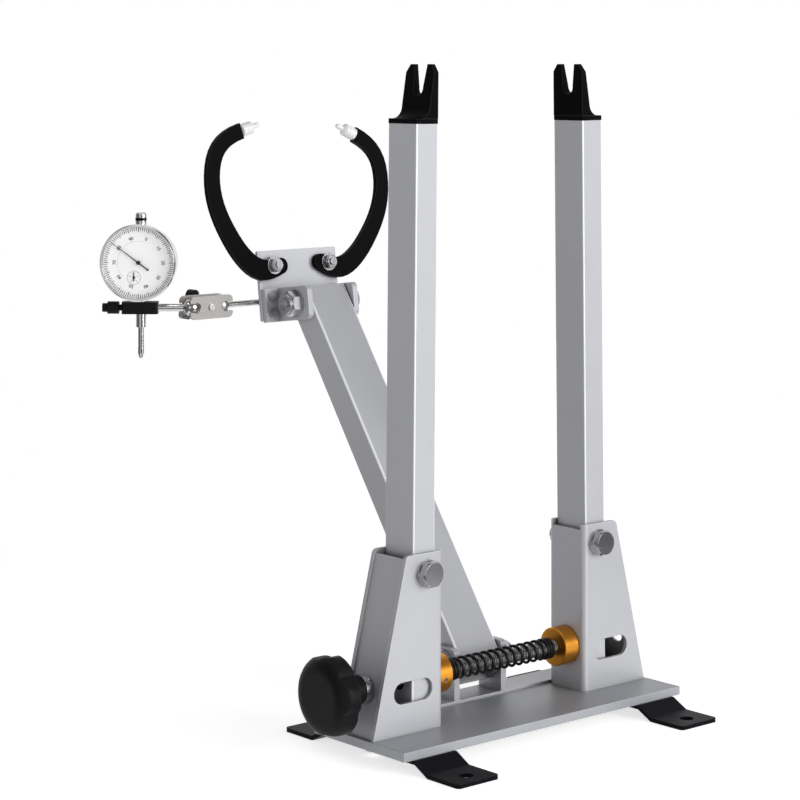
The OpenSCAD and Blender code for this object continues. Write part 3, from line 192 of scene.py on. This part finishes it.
FRONT_ROOM = 0.13
front_light = spread(tree, towards((0.45, -0.85, 0.05)), -0.7, 0.8, 0.52, 1.06)
left_light = spread(tree, towards((-1.0, 0.15, 0.0)), 0.2, 0.9, 0.0, 0.45)
soft = maths(tree, "ADD", front_light, left_light)
backdrop = spread(tree, towards((VIEW_X, VIEW_Y, 0.0)), 0.20, 0.60, 0.0, 0.86)
window = spread(tree, towards((0.20, -0.90, 0.30)), 0.90, 0.96, 0.0, 1.0)
overhead = spread(tree, towards((-0.25, -0.10, 1.0)), 0.80, 0.93, 0.0, 0.8)
lamp_side = spread(tree, towards((-0.80, -0.60, 0.12)), 0.93, 0.98, 0.0, 0.75)
mirror = backdrop
for patch in (window, overhead, lamp_side):
    mirror = maths(tree, "MAXIMUM", mirror, patch)
mirror = maths(tree, "ADD", FRONT_ROOM, mirror)
ceiling = spread(tree, towards((0, 0, 1)), 0.10, 0.90, 1.0, 0.05)
room_light = maths(tree, "MULTIPLY", soft, ceiling)
lit = add_node(tree, "ShaderNodeBackground", Strength=room_light).outputs[0]
mirrored = add_node(tree, "ShaderNodeBackground", Strength=mirror).outputs[0]
white = add_node(tree, "ShaderNodeBackground", Strength=1.0).outputs[0]
for shader in (lit, mirrored, white):
    shader.node.inputs["Color"].default_value = (1, 1, 1, 1)
metal_mix = add_node(tree, "ShaderNodeMixShader", Fac=path["Is Glossy Ray"])
tree.links.new(lit, metal_mix.inputs[1])
tree.links.new(mirrored, metal_mix.inputs[2])
straight_ray = maths(tree, "MAXIMUM", path["Is Camera Ray"], path["Is Transmission Ray"])
view_mix = add_node(tree, "ShaderNodeMixShader", Fac=straight_ray)
tree.links.new(metal_mix.outputs[0], view_mix.inputs[1])
tree.links.new(white, view_mix.inputs[2])
add_node(tree, "ShaderNodeOutputWorld", Surface=view_mix.outputs[0])

sun_data = bpy.data.lights.new("window_light", "SUN")
sun_data.energy = 2.05
sun_data.angle = radians(38)
sun = bpy.data.objects.new("window_light", sun_data)
bpy.context.scene.collection.objects.link(sun)
sun.rotation_euler = Vector((0.25, -0.88, 0.20)).to_track_quat("Z", "Y").to_euler()
bpy.context.scene.view_settings.view_transform = "Standard"
print("sun:", sun_data.energy, "W/m2")

# %% [markdown]
# ## Shared effects
#
# Four effects come back in many finishes, so each is a node group, made once:
# * *coat grain* is the fine pebbled skin and cloudy tone of powder coat and moulded plastic,
# * *tool marks* are the fine rings that a lathe or a polishing wheel leaves along an axis,
# * *handling* is the faint smears and small scratches of use,
# * *screw thread* is a run of grooves between two places on a rod.

# %% Coat grain
coat_grain, given, result = new_group("coat grain",
    [("Grain Size", "NodeSocketFloat", 0.0008), ("Cloudiness", "NodeSocketFloat", 0.04)],
    [("Tone", "NodeSocketFloat"), ("Height", "NodeSocketFloat")])
place = add_node(coat_grain, "ShaderNodeTexCoord").outputs["Object"]
per_metre = maths(coat_grain, "DIVIDE", 1.0, given["Grain Size"])
pebble = add_node(coat_grain, "ShaderNodeTexNoise", Vector=place, Scale=per_metre, Detail=3.0,
    Roughness=0.55)
cloud = add_node(coat_grain, "ShaderNodeTexNoise", Vector=place, Scale=22.0, Detail=4.0,
    Roughness=0.6)
cloud_part = maths(coat_grain, "SUBTRACT", cloud.outputs["Fac"], 0.5)
pebble_part = maths(coat_grain, "SUBTRACT", pebble.outputs["Fac"], 0.5)
drift = maths(coat_grain, "MULTIPLY", cloud_part, given["Cloudiness"])
fleck = maths(coat_grain, "MULTIPLY", pebble_part, 0.10)
change = maths(coat_grain, "ADD", drift, fleck)
coat_grain.links.new(maths(coat_grain, "ADD", 1.0, change), result["Tone"])
coat_grain.links.new(pebble.outputs["Fac"], result["Height"])
print("group:", coat_grain.name)

# %% Tool marks
tool_marks, given, result = new_group("tool marks",
    [("Axis Place", "NodeSocketVector", None), ("Spacing", "NodeSocketFloat", 0.0003)],
    [("Height", "NodeSocketFloat"), ("Sheen", "NodeSocketFloat")])
stretch = add_node(tool_marks, "ShaderNodeMapping", Vector=given["Axis Place"],
    Scale=(0.02, 0.02, 1.0))
fine = add_node(tool_marks, "ShaderNodeTexNoise", Vector=stretch.outputs[0],
    Scale=maths(tool_marks, "DIVIDE", 1.0, given["Spacing"]), Detail=4.0, Roughness=0.7)
broad = add_node(tool_marks, "ShaderNodeTexNoise", Vector=stretch.outputs[0], Scale=260.0,
    Detail=2.0)
tool_marks.links.new(fine.outputs["Fac"], result["Height"])
tool_marks.links.new(broad.outputs["Fac"], result["Sheen"])
print("group:", tool_marks.name)

# %% Handling
handling, given, result = new_group("handling", [("Amount", "NodeSocketFloat", 1.0)],
    [("Smear", "NodeSocketFloat"), ("Scratch", "NodeSocketFloat")])
place = add_node(handling, "ShaderNodeTexCoord").outputs["Object"]
smear = add_node(handling, "ShaderNodeTexNoise", Vector=place, Scale=45.0, Detail=5.0,
    Distortion=0.6)
streak = add_node(handling, "ShaderNodeMapping", Vector=place, Rotation=(0.5, 0.3, 0.7),
    Scale=(1.0, 14.0, 6.0))
hair = add_node(handling, "ShaderNodeTexNoise", Vector=streak.outputs[0], Scale=90.0, Detail=2.0)
thin = spread(handling, hair.outputs["Fac"], 0.68, 0.72, 0.0, 1.0)
smear_part = maths(handling, "SUBTRACT", smear.outputs["Fac"], 0.5)
handling.links.new(maths(handling, "MULTIPLY", smear_part, given["Amount"]), result["Smear"])
handling.links.new(maths(handling, "MULTIPLY", thin, given["Amount"]), result["Scratch"])
print("group:", handling.name)

# %% Screw thread
screw_thread, given, result = new_group("screw thread",
    [("Axis Place", "NodeSocketVector", None), ("Pitch", "NodeSocketFloat", 0.001),
     ("Start", "NodeSocketFloat", 0.0), ("End", "NodeSocketFloat", 1.0)],
    [("Height", "NodeSocketFloat"), ("Mask", "NodeSocketFloat")])
parts = add_node(screw_thread, "ShaderNodeSeparateXYZ", Vector=given["Axis Place"]).outputs
turn = maths(screw_thread, "DIVIDE", maths(screw_thread, "ARCTAN2", parts["Y"], parts["X"]), 2 * pi)
phase = maths(screw_thread, "ADD", maths(screw_thread, "DIVIDE", parts["Z"], given["Pitch"]), turn)
ridge = maths(screw_thread, "PINGPONG", phase, 0.5)
past_start = maths(screw_thread, "GREATER_THAN", parts["Z"], given["Start"])
before_end = maths(screw_thread, "LESS_THAN", parts["Z"], given["End"])
inside = maths(screw_thread, "MULTIPLY", past_start, before_end)
screw_thread.links.new(maths(screw_thread, "MULTIPLY", ridge, inside), result["Height"])
screw_thread.links.new(inside, result["Mask"])
print("group:", screw_thread.name)

# %% [markdown]
# ## Finishes
#
# One function builds a coated surface and one builds a bare metal surface. Both soften the
# sharp CAD edges with a Bevel node, which rounds only the shading: real paint and real
# machining never leave a knife edge, and the thin light line along an edge tells the eye so.
# A coated surface can also carry painted light. The rim highlight is a painted highlight: it
# lightens the paint where the Bevel node bends the surface. The corner highlight paints the
# same kind of highlight on the round corners of a box tube. The hollow shade is painted shade:
# it darkens the paint in narrow places, such as inside the brackets' slots.

# %% Coated surfaces
def finish_start(name, metallic, roughness):
    material = bpy.data.materials.new(name)
    material.use_nodes = True
    tree = material.node_tree
    tree.nodes.clear()
    shader = add_node(tree, "ShaderNodeBsdfPrincipled")
    shader.inputs["Metallic"].default_value = metallic
    shader.inputs["Roughness"].default_value = roughness
    add_node(tree, "ShaderNodeOutputMaterial", Surface=shader.outputs[0])
    return material, tree, shader


def toned(tree, color, tone):
    mix = add_node(tree, "ShaderNodeVectorMath", {"operation": "SCALE"}, Scale=tone)
    mix.inputs[0].default_value = color
    return mix.outputs[0]


def rounded(tree, radius):
    return add_node(tree, "ShaderNodeBevel", {"samples": 6}, Radius=radius).outputs[0]


# Three arguments paint light into the colour: a highlight along bent edges, a highlight on tube
# corners, and shade in narrow places.
def coated(name, color, metallic=0.0, roughness=0.45, grain=0.0008, bump=0.00003, cloud=0.05,
           edge=0.0006, smear=0.10, gloss=0.5, rim_highlight=0.0, corner_highlight=0.0, hollow_shade=0.0):
    material, tree, shader = finish_start(name, metallic, roughness)
    skin = add_node(tree, "ShaderNodeGroup", {"node_tree": coat_grain})
    skin.inputs["Grain Size"].default_value = grain
    skin.inputs["Cloudiness"].default_value = cloud
    touch = add_node(tree, "ShaderNodeGroup", {"node_tree": handling})
    rough = maths(tree, "ADD", roughness, maths(tree, "MULTIPLY", touch.outputs["Smear"], smear))
    tree.links.new(rough, shader.inputs["Roughness"])
    normal = rounded(tree, edge)
    flat = add_node(tree, "ShaderNodeNewGeometry").outputs["Normal"]
    lean = add_node(tree, "ShaderNodeVectorMath", {"operation": "DOT_PRODUCT"})
    tree.links.new(normal, lean.inputs[0])
    tree.links.new(flat, lean.inputs[1])
    # Painted highlight: the paint is made lighter where the Bevel normal leans away from the flat
    # face.
    edge_highlight = spread(tree, lean.outputs["Value"], 0.995, 0.92, 0.0, rim_highlight)
    tone = maths(tree, "ADD", skin.outputs["Tone"], edge_highlight)
    # Painted highlight on the round corners of a box tube: the paint is lighter where the normal
    # turns from the side faces to the others.
    if corner_highlight:
        own_normal = add_node(tree, "ShaderNodeTexCoord").outputs["Normal"]
        facing = add_node(tree, "ShaderNodeSeparateXYZ", Vector=own_normal)
        side = maths(tree, "ABSOLUTE", facing.outputs["X"])
        corner_mask = maths(tree, "MULTIPLY", side, maths(tree, "SUBTRACT", 1.0, side))
        tone = maths(tree, "ADD", tone, spread(tree, corner_mask, 0.06, 0.18, 0.0, corner_highlight))
    # Painted shade: ambient occlusion darkens the paint in narrow places and where parts meet.
    if hollow_shade:
        room = add_node(tree, "ShaderNodeAmbientOcclusion", {"samples": 8}, Distance=0.03)
        shade = spread(tree, room.outputs["AO"], 0.1, 0.6, 1.0 - hollow_shade, 1.0)
        tone = maths(tree, "MULTIPLY", tone, shade)
    tree.links.new(toned(tree, color, tone), shader.inputs["Base Color"])
    bumped = add_node(tree, "ShaderNodeBump", Strength=0.6, Distance=bump,
        Height=skin.outputs["Height"], Normal=normal)
    tree.links.new(bumped.outputs[0], shader.inputs["Normal"])
    shader.inputs["Specular IOR Level"].default_value = gloss
    return material


print("coated surfaces ready")

# %% Bare metal surfaces
def bare_metal(name, color, roughness=0.25, axis=(0, 0, 0), spacing=0.0004, bump=0.000006,
               edge=0.0003, thread=None, smear=0.15):
    material, tree, shader = finish_start(name, 1.0, roughness)
    place = add_node(tree, "ShaderNodeTexCoord").outputs["Object"]
    along = add_node(tree, "ShaderNodeMapping", Vector=place, Rotation=axis)
    marks = add_node(tree, "ShaderNodeGroup", {"node_tree": tool_marks})
    tree.links.new(along.outputs[0], marks.inputs["Axis Place"])
    marks.inputs["Spacing"].default_value = spacing
    touch = add_node(tree, "ShaderNodeGroup", {"node_tree": handling})
    tone = maths(tree, "ADD", 0.94, maths(tree, "MULTIPLY", marks.outputs["Sheen"], 0.12))
    smeared = maths(tree, "MULTIPLY", touch.outputs["Smear"], smear)
    scratched = maths(tree, "MULTIPLY", touch.outputs["Scratch"], 0.08)
    rough = maths(tree, "ADD", roughness, maths(tree, "ADD", smeared, scratched))
    normal = rounded(tree, edge)
    if thread:
        offset, pitch, start, end = thread
        centred = add_node(tree, "ShaderNodeMapping", Vector=along.outputs[0], Location=offset)
        groove = add_node(tree, "ShaderNodeGroup", {"node_tree": screw_thread})
        tree.links.new(centred.outputs[0], groove.inputs["Axis Place"])
        for label, value in (("Pitch", pitch), ("Start", start), ("End", end)):
            groove.inputs[label].default_value = value
        normal = add_node(tree, "ShaderNodeBump", Strength=1.0, Distance=pitch,
            Height=groove.outputs["Height"], Normal=normal).outputs[0]
        # The threaded span is drawn a quarter darker than the plain rod.
        thread_darkening = maths(tree, "MULTIPLY", groove.outputs["Mask"], 0.25)
        tone = maths(tree, "MULTIPLY", tone, maths(tree, "SUBTRACT", 1.0, thread_darkening))
    tree.links.new(toned(tree, color, tone), shader.inputs["Base Color"])
    tree.links.new(rough, shader.inputs["Roughness"])
    bumped = add_node(tree, "ShaderNodeBump", Strength=0.5, Distance=bump,
        Height=marks.outputs["Height"], Normal=normal)
    tree.links.new(bumped.outputs[0], shader.inputs["Normal"])
    return material


ALONG_X = (0, radians(-90), 0)
ALONG_Y = (radians(90), 0, 0)
ALONG_Z = (0, 0, 0)
print("bare metal surfaces ready")

# %% [markdown]
# ## The painted steel
#
# The uprights, brackets, arm and head have a satin silver powder coat with a slightly cool
# tone, and the base plate is a little darker. Fine metal flakes in the paint give it a soft
# metallic body, so it is part metal, part paint.

# %% Painted steel
def dress(material, *names):
    for name in names:
        nodes[name].data.materials[0] = material


SKIN = 0.00002
FLAKES = 0.30
# Strength of the painted shade in narrow places, for the silver coats.
HOLLOW_SHADE = 0.9
silver_tube = coated("silver_coat_tubes", (0.49, 0.495, 0.52), metallic=FLAKES, roughness=0.42,
    bump=SKIN, rim_highlight=0.7, corner_highlight=0.8, hollow_shade=HOLLOW_SHADE)
silver_bracket = coated("silver_coat_brackets", (0.48, 0.485, 0.51), metallic=FLAKES,
    roughness=0.40, bump=SKIN, rim_highlight=0.6, hollow_shade=HOLLOW_SHADE)
silver_base = coated("silver_coat_base", (0.38, 0.39, 0.415), metallic=FLAKES, roughness=0.44,
    bump=SKIN, rim_highlight=0.6, hollow_shade=HOLLOW_SHADE)
# The black finishes carry a strong painted highlight along their edges.
black_coat = coated("black_coat", (0.003, 0.003, 0.0035), roughness=0.46, bump=SKIN, cloud=0.2,
    edge=0.0005, gloss=0.03, rim_highlight=12.0)
black_feet = coated("black_coat_feet", (0.0045, 0.0045, 0.007), roughness=0.40, bump=SKIN,
    cloud=0.2, gloss=0.04, rim_highlight=7.0)
dress(silver_tube, "upright_left", "upright_right", "arm")
dress(silver_bracket, "bracket_left", "bracket_right", "bracket_cover_left",
    "bracket_cover_right", "head_plate", "ear_left", "ear_right", "arm_bracket")
dress(silver_base, "base_plate")
dress(black_coat, "fork_cap_left", "fork_cap_right", "caliper_left", "caliper_right")
dress(black_feet, "foot_strip_left", "foot_strip_right")
print("painted pieces done")

# %% [markdown]
# ## Zinc plated fasteners
#
# The bolts, nuts and washers are bright zinc: a hard, slightly cool metal with fine turning
# marks. The head's pivot nut and small screws are a little duller.

# %% Fasteners
ZINC = (0.50, 0.50, 0.515)
zinc = bare_metal("zinc_plate", ZINC, roughness=0.20, axis=ALONG_Y, edge=0.0002, smear=0.08)
satin_zinc = bare_metal("satin_zinc_plate", ZINC, roughness=0.36, axis=ALONG_X, smear=0.08)
dress(satin_zinc, "head_pivot_nut", "head_screws")
dress(zinc, "base_screws", "pivot_nuts", "arm_pivot_bolt", "head_pivot_bolt", "caliper_bolt_left",
    "caliper_bolt_right", "caliper_nut_left", "caliper_nut_right", "knob_washer",
    "collar_set_screws", "pivot_bolts")
print("zinc fasteners done")

# %% [markdown]
# ## Rods, collars and the gauge's metal
#
# The centring rod is threaded from end to end: its finish cuts the grooves into the shading
# round the rod's own axis. The collars are anodised: a clear orange gold dye over fine lathe
# rings, still metallic underneath. The gauge has satin chrome, and the swivel plates are
# plain steel with a warm grey tone. The trunnion nuts are painted like the tubes they sit in.

# %% Rods and collars
STEEL = (0.62, 0.62, 0.62)
ROD_Y, ROD_Z = 5 * MM, 47.5 * MM
ROD_PITCH = 1.5 * MM
rod_steel = bare_metal("ground_steel_x", STEEL, roughness=0.22, axis=ALONG_X, spacing=0.0005,
    bump=0.00001)
pin_steel = bare_metal("ground_steel_y", (0.70, 0.70, 0.70), roughness=0.32, axis=ALONG_Y)
upright_steel = bare_metal("ground_steel_z", STEEL, roughness=0.14, axis=ALONG_Z)
plate_steel = bare_metal("swivel_steel", (0.38, 0.362, 0.35), roughness=0.42, axis=ALONG_X,
    spacing=0.0006)
dark_steel = bare_metal("oiled_steel", (0.16, 0.16, 0.165), roughness=0.42, axis=ALONG_X)
collar_gold = bare_metal("gold_anodised", (0.68, 0.285, 0.035), roughness=0.36, axis=ALONG_X,
    spacing=0.0007, bump=0.000012, edge=0.0005)
threaded_rod = bare_metal("threaded_rod_x", (0.52, 0.52, 0.52), roughness=0.26, axis=ALONG_X,
    thread=((ROD_Z, -ROD_Y, 0), ROD_PITCH, -0.14, 0.14))
dress(threaded_rod, "screw_rod")
dress(rod_steel, "gauge_rod", "carrier_rod")
dress(pin_steel, "swivel_screw")
dress(silver_tube, "trunnion_nut_left", "trunnion_nut_right")
dress(upright_steel, "plunger")
dress(plate_steel, "swivel_plate_front", "swivel_plate_back")
dress(dark_steel, "arm_sleeve", "rod_clamp")
dress(collar_gold, "collar_left", "collar_right")
print("rods and collars done")

# %% [markdown]
# ## Plastic and nylon
#
# The star knob, wing knob and gauge clamp are black plastic with a fine spark eroded grain.
# The caliper tips are milky nylon: light goes a little way in, so they never look chalky.

# %% Plastic
black_plastic = coated("grained_black_plastic", (0.007, 0.007, 0.008), roughness=0.46,
    grain=0.0005, cloud=0.15, edge=0.0008, smear=0.2, gloss=0.10)
dress(black_plastic, "star_knob", "swivel_knob", "gauge_clamp", "clamp_screw")
nylon = coated("milky_nylon", (0.72, 0.73, 0.72), roughness=0.38, grain=0.003, bump=0.00001,
    cloud=0.03)
nylon_shader = next(n for n in nylon.node_tree.nodes if n.type == "BSDF_PRINCIPLED")
nylon_shader.inputs["Subsurface Weight"].default_value = 0.35
nylon_shader.inputs["Subsurface Radius"].default_value = (1.0, 1.0, 1.0)
nylon_shader.inputs["Subsurface Scale"].default_value = 0.002
dress(nylon, "tip_left", "tip_right")
print("plastic done")

# %% [markdown]
# ## The dial gauge
#
# The case is satin chrome, the dial is printed white, and a thin crystal lies over it. The
# crystal is clear but for its reflections: it is a mirror whose alpha is the share of light
# that a clear sheet reflects, so it reads as thin and lets the light reach the dial.

# %% Gauge finishes
PRINT_BUMP = 0.000004
PRINT_EDGE = 0.00003
chrome = bare_metal("satin_chrome", (0.70, 0.70, 0.71), roughness=0.16, axis=ALONG_Z,
    bump=0.000003)
dial_white = coated("printed_white", (0.95, 0.95, 0.94), roughness=0.5, grain=0.0012,
    bump=PRINT_BUMP, cloud=0.01, edge=0.0001)
ink = coated("printing_ink", (0.008, 0.008, 0.009), roughness=0.6, gloss=0.2, grain=0.0006,
    bump=PRINT_BUMP, edge=PRINT_EDGE)
grey_ink = coated("grey_ink", (0.45, 0.45, 0.45), roughness=0.55, grain=0.0006,
    bump=PRINT_BUMP, edge=PRINT_EDGE)
crystal, tree, shader = finish_start("crystal_sheet", 1.0, 0.04)
touch = add_node(tree, "ShaderNodeGroup", {"node_tree": handling})
tree.links.new(maths(tree, "ADD", 0.04, maths(tree, "MULTIPLY", touch.outputs["Smear"], 0.03)),
    shader.inputs["Roughness"])
shader.inputs["Base Color"].default_value = (0.95, 0.97, 0.98, 1)
back_side = add_node(tree, "ShaderNodeNewGeometry").outputs["Backfacing"]
front_only = maths(tree, "SUBTRACT", 1.0, back_side)
reflected = add_node(tree, "ShaderNodeFresnel", IOR=1.45).outputs[0]
tree.links.new(maths(tree, "MULTIPLY", reflected, front_only), shader.inputs["Alpha"])
crystal.surface_render_method = "BLENDED"
dress(chrome, "gauge_case", "bezel")
print("gauge finishes done")

# %% Cap with its black ring
RING_TOP = 4.2 * MM
RING_BOTTOM = 6.4 * MM
cap_low, cap_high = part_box("gauge_cap")
cap_metal = bare_metal("cap_with_black_ring", (0.74, 0.74, 0.75), roughness=0.28, axis=ALONG_Z,
    bump=0.000003)
tree = cap_metal.node_tree
shader = next(n for n in tree.nodes if n.type == "BSDF_PRINCIPLED")
place = add_node(tree, "ShaderNodeTexCoord").outputs["Object"]
height = add_node(tree, "ShaderNodeSeparateXYZ", Vector=place).outputs["Z"]
above = maths(tree, "GREATER_THAN", height, cap_high.z - RING_BOTTOM)
below = maths(tree, "LESS_THAN", height, cap_high.z - RING_TOP)
ring = maths(tree, "MULTIPLY", above, below)
shade = add_node(tree, "ShaderNodeMix", {"data_type": "RGBA"}, Factor=ring)
tree.links.new(shader.inputs["Base Color"].links[0].from_socket, shade.inputs[6])
shade.inputs[7].default_value = (0.01, 0.01, 0.01, 1)
tree.links.new(shade.outputs[2], shader.inputs["Base Color"])
dress(cap_metal, "gauge_cap")
dress(dial_white, "dial_face", "scale_ring")
dress(crystal, "crystal")
dress(ink, "pointer", "small_pointer")
print("cap, dial and hands done")

# %% [markdown]
# ## The centring spring
#
# The spring is a black wire wound round the rod, close at both ends and open between. The
# CAD wire has six sides; here it is round. Spin with a step along the axis winds a helix
# from one small circle: five spins with different steps give a short lead at either end,
# the close turns next to it and the open turns between.

# %% Wind the spring
def finish_piece(name, bm, material, body, smooth=None):
    mesh = bpy.data.meshes.new(name)
    bmesh.ops.recalc_face_normals(bm, faces=bm.faces)
    bm.to_mesh(mesh)
    bm.free()
    mesh.materials.append(material)
    if smooth is not None:
        mesh.shade_smooth()
        mesh.set_sharp_from_angle(angle=radians(smooth))
    piece = bpy.data.objects.new(name, mesh)
    bpy.context.scene.collection.objects.link(piece)
    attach(piece, body)
    print(name, "has", len(mesh.polygons), "faces")
    return piece


WIRE = 2.2 * MM
COIL = 6.75 * MM
HALF = 50.85 * MM
CLOSE_TURNS = 3
CLOSE_PITCH = 2.6 * MM
OPEN_TURNS = 12
OPEN_PITCH = (2 * HALF - 2 * CLOSE_TURNS * CLOSE_PITCH) / OPEN_TURNS
LEAD_TURNS = 0.11
LEAD_PITCH = 30 * MM
STEPS_PER_TURN = 28
START_TURN = radians(-40)
rod_axis = Vector((0, ROD_Y, ROD_Z))
bm = bmesh.new()
bmesh.ops.create_circle(bm, radius=WIRE / 2, segments=12, cap_ends=True)
bmesh.ops.translate(bm, verts=bm.verts, vec=rod_axis + Vector((-HALF - WIRE * 1.5, COIL, 0)))
bmesh.ops.rotate(bm, verts=bm.verts, cent=rod_axis, matrix=Matrix.Rotation(START_TURN, 3, "X"))
last = list(bm.verts) + list(bm.edges) + list(bm.faces)
spring_gloss = coated("black_spring_lacquer", (0.006, 0.006, 0.006), roughness=0.34,
    grain=0.0006, bump=0.00001, edge=0.0001, gloss=0.25)


def wind(bm, last, turns, pitch):
    steps = max(3, round(turns * STEPS_PER_TURN))
    wound = bmesh.ops.spin(bm, geom=last, cent=rod_axis, axis=(1, 0, 0),
        dvec=(turns * pitch / steps, 0, 0), angle=2 * pi * turns, steps=steps,
        use_duplicate=False)
    return wound["geom_last"]


lead, close = (LEAD_TURNS, LEAD_PITCH), (CLOSE_TURNS, CLOSE_PITCH)
for turns, pitch in (lead, close, (OPEN_TURNS, OPEN_PITCH), close, lead):
    last = wind(bm, last, turns, pitch)
spring = finish_piece("wound_spring", bm, spring_gloss, "screw", smooth=50)
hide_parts("tension_spring")

# %% [markdown]
# ## The print on the dial
#
# The scale has a hundred divisions on a ring that turns with the bezel. Each mark is a thin
# block, turned round the middle of the dial. Every fifth mark is longer and every tenth has
# a plain number. The small dial lower down counts the turns of the hand.

# %% Dial frame
DIAL_YAW = radians(47)
DIAL_TURN = radians(18)
FACE = 8.6 * MM
SCALE_TOP = 9.5 * MM
INK = 0.05 * MM
out = Vector((-sin(DIAL_YAW), -cos(DIAL_YAW), 0))
right = Vector((cos(DIAL_YAW), -sin(DIAL_YAW), 0))
low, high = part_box("crystal")
dial_middle = (low + high) / 2
stem_axis = (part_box("plunger")[0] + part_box("plunger")[1]) / 2
dial_place = Matrix((
    (right.x, 0, out.x, stem_axis.x),
    (right.y, 0, out.y, stem_axis.y),
    (right.z, 1, out.z, dial_middle.z),
    (0, 0, 0, 1)))
print("dial middle:", tuple(round(v, 4) for v in dial_place.translation))

# %% Marks and numbers
LETTER_BOLD = 0.018
MARK_START = 24.3 * MM
LONG_MARK_START = 23.5 * MM
MARK_END = 27.1 * MM
MARK_WIDTH = 0.42 * MM
LONG_MARK_WIDTH = 0.50 * MM
NUMBER_RADIUS = 18.8 * MM
NUMBER_SIZE = 3.6 * MM


def mark(bm, angle, r0, r1, width, z):
    block = bmesh.ops.create_cube(bm, size=1.0)["verts"]
    bmesh.ops.scale(bm, verts=block, vec=(width, r1 - r0, INK))
    bmesh.ops.translate(bm, verts=block, vec=(0, (r0 + r1) / 2, z + INK / 2))
    bmesh.ops.rotate(bm, verts=block, cent=(0, 0, 0), matrix=Matrix.Rotation(-angle, 3, "Z"))


def number(bm, text, angle, radius, size, z, turned=True, centre=(0, 0)):
    letters = bpy.data.curves.new("number", "FONT")
    letters.body = text
    letters.size = size
    letters.align_x = "CENTER"
    letters.align_y = "CENTER"
    letters.extrude = INK / 2
    letters.offset = LETTER_BOLD * size
    letters.resolution_u = 3
    holder = bpy.data.objects.new("number", letters)
    mesh = bpy.data.meshes.new_from_object(holder)
    height = z + INK / 2
    if turned:
        place = Matrix.Rotation(-angle, 4, "Z") @ Matrix.Translation((0, radius, height))
    else:
        place = Matrix.Translation((radius * sin(angle), radius * cos(angle), height))
    mesh.transform(Matrix.Translation((centre[0], centre[1], 0)) @ place)
    bm.from_mesh(mesh)
    bpy.data.objects.remove(holder)
    bpy.data.curves.remove(letters)
    bpy.data.meshes.remove(mesh)


bm = bmesh.new()
for k in range(100):
    start, width = (MARK_START, MARK_WIDTH) if k % 5 else (LONG_MARK_START, LONG_MARK_WIDTH)
    mark(bm, DIAL_TURN + 2 * pi * k / 100, start, MARK_END, width, SCALE_TOP)
bmesh.ops.transform(bm, matrix=dial_place, verts=bm.verts)
finish_piece("scale_marks", bm, ink, "bezel")
bm = bmesh.new()
for k in range(10):
    number(bm, str(10 * k), DIAL_TURN + 2 * pi * k / 10, NUMBER_RADIUS, NUMBER_SIZE, FACE)
bmesh.ops.transform(bm, matrix=dial_place, verts=bm.verts)
finish_piece("scale_numbers", bm, ink, "gauge")

# %% Small dial
SMALL_DISTANCE = 12 * MM
SMALL_RADIUS = 5.2 * MM
SMALL_LINE = 0.18 * MM
SMALL_MARK = (0.16 * MM, 1.0 * MM)
SMALL_MARK_RADIUS = 4.6 * MM
SMALL_NUMBER_RADIUS = 3.2 * MM
SMALL_NUMBER_SIZE = 1.3 * MM
ARC_RADIUS = 16.4 * MM
ARC_LINE = 0.2 * MM
small_angle = radians(-90) - DIAL_TURN
small = (SMALL_DISTANCE * cos(small_angle), SMALL_DISTANCE * sin(small_angle))
bm = bmesh.new()
for k in range(10):
    angle = 2 * pi * k / 10
    block = bmesh.ops.create_cube(bm, size=1.0)["verts"]
    bmesh.ops.scale(bm, verts=block, vec=(*SMALL_MARK, INK))
    bmesh.ops.translate(bm, verts=block, vec=(0, SMALL_MARK_RADIUS, FACE + INK / 2))
    bmesh.ops.rotate(bm, verts=block, cent=(0, 0, 0), matrix=Matrix.Rotation(-angle, 3, "Z"))
    bmesh.ops.translate(bm, verts=block, vec=(small[0], small[1], 0))
for k in range(0, 10, 2):
    number(bm, str(k), 2 * pi * k / 10, SMALL_NUMBER_RADIUS, SMALL_NUMBER_SIZE, FACE,
        turned=False, centre=small)


def printed_ring(bm, centre, radius, width, start, turn, z):
    inner, outer = radius - width / 2, radius + width / 2
    corners = [bm.verts.new((centre[0] + r * cos(start), centre[1] + r * sin(start), z + h))
        for r, h in ((inner, 0), (outer, 0), (outer, INK), (inner, INK))]
    face = bm.faces.new(corners)
    full = abs(turn - 2 * pi) < 0.001
    steps = max(12, round(64 * turn / (2 * pi)))
    wound = bmesh.ops.spin(bm, geom=[face] + list(face.edges) + corners,
        cent=(centre[0], centre[1], z), axis=(0, 0, 1), angle=turn, steps=steps,
        use_merge=full, use_duplicate=False)
    if full:
        end_faces = [f for f in wound["geom_last"] if isinstance(f, bmesh.types.BMFace)]
        bmesh.ops.delete(bm, geom=end_faces, context="FACES_ONLY")


printed_ring(bm, small, SMALL_RADIUS, SMALL_LINE, 0, 2 * pi, FACE)
bmesh.ops.transform(bm, matrix=dial_place, verts=bm.verts)
finish_piece("small_dial_print", bm, ink, "gauge")
bm = bmesh.new()
printed_ring(bm, (0, 0), ARC_RADIUS, ARC_LINE, radians(72), radians(148), FACE)
bmesh.ops.transform(bm, matrix=dial_place, verts=bm.verts)
finish_piece("dial_arc_print", bm, grey_ink, "gauge")
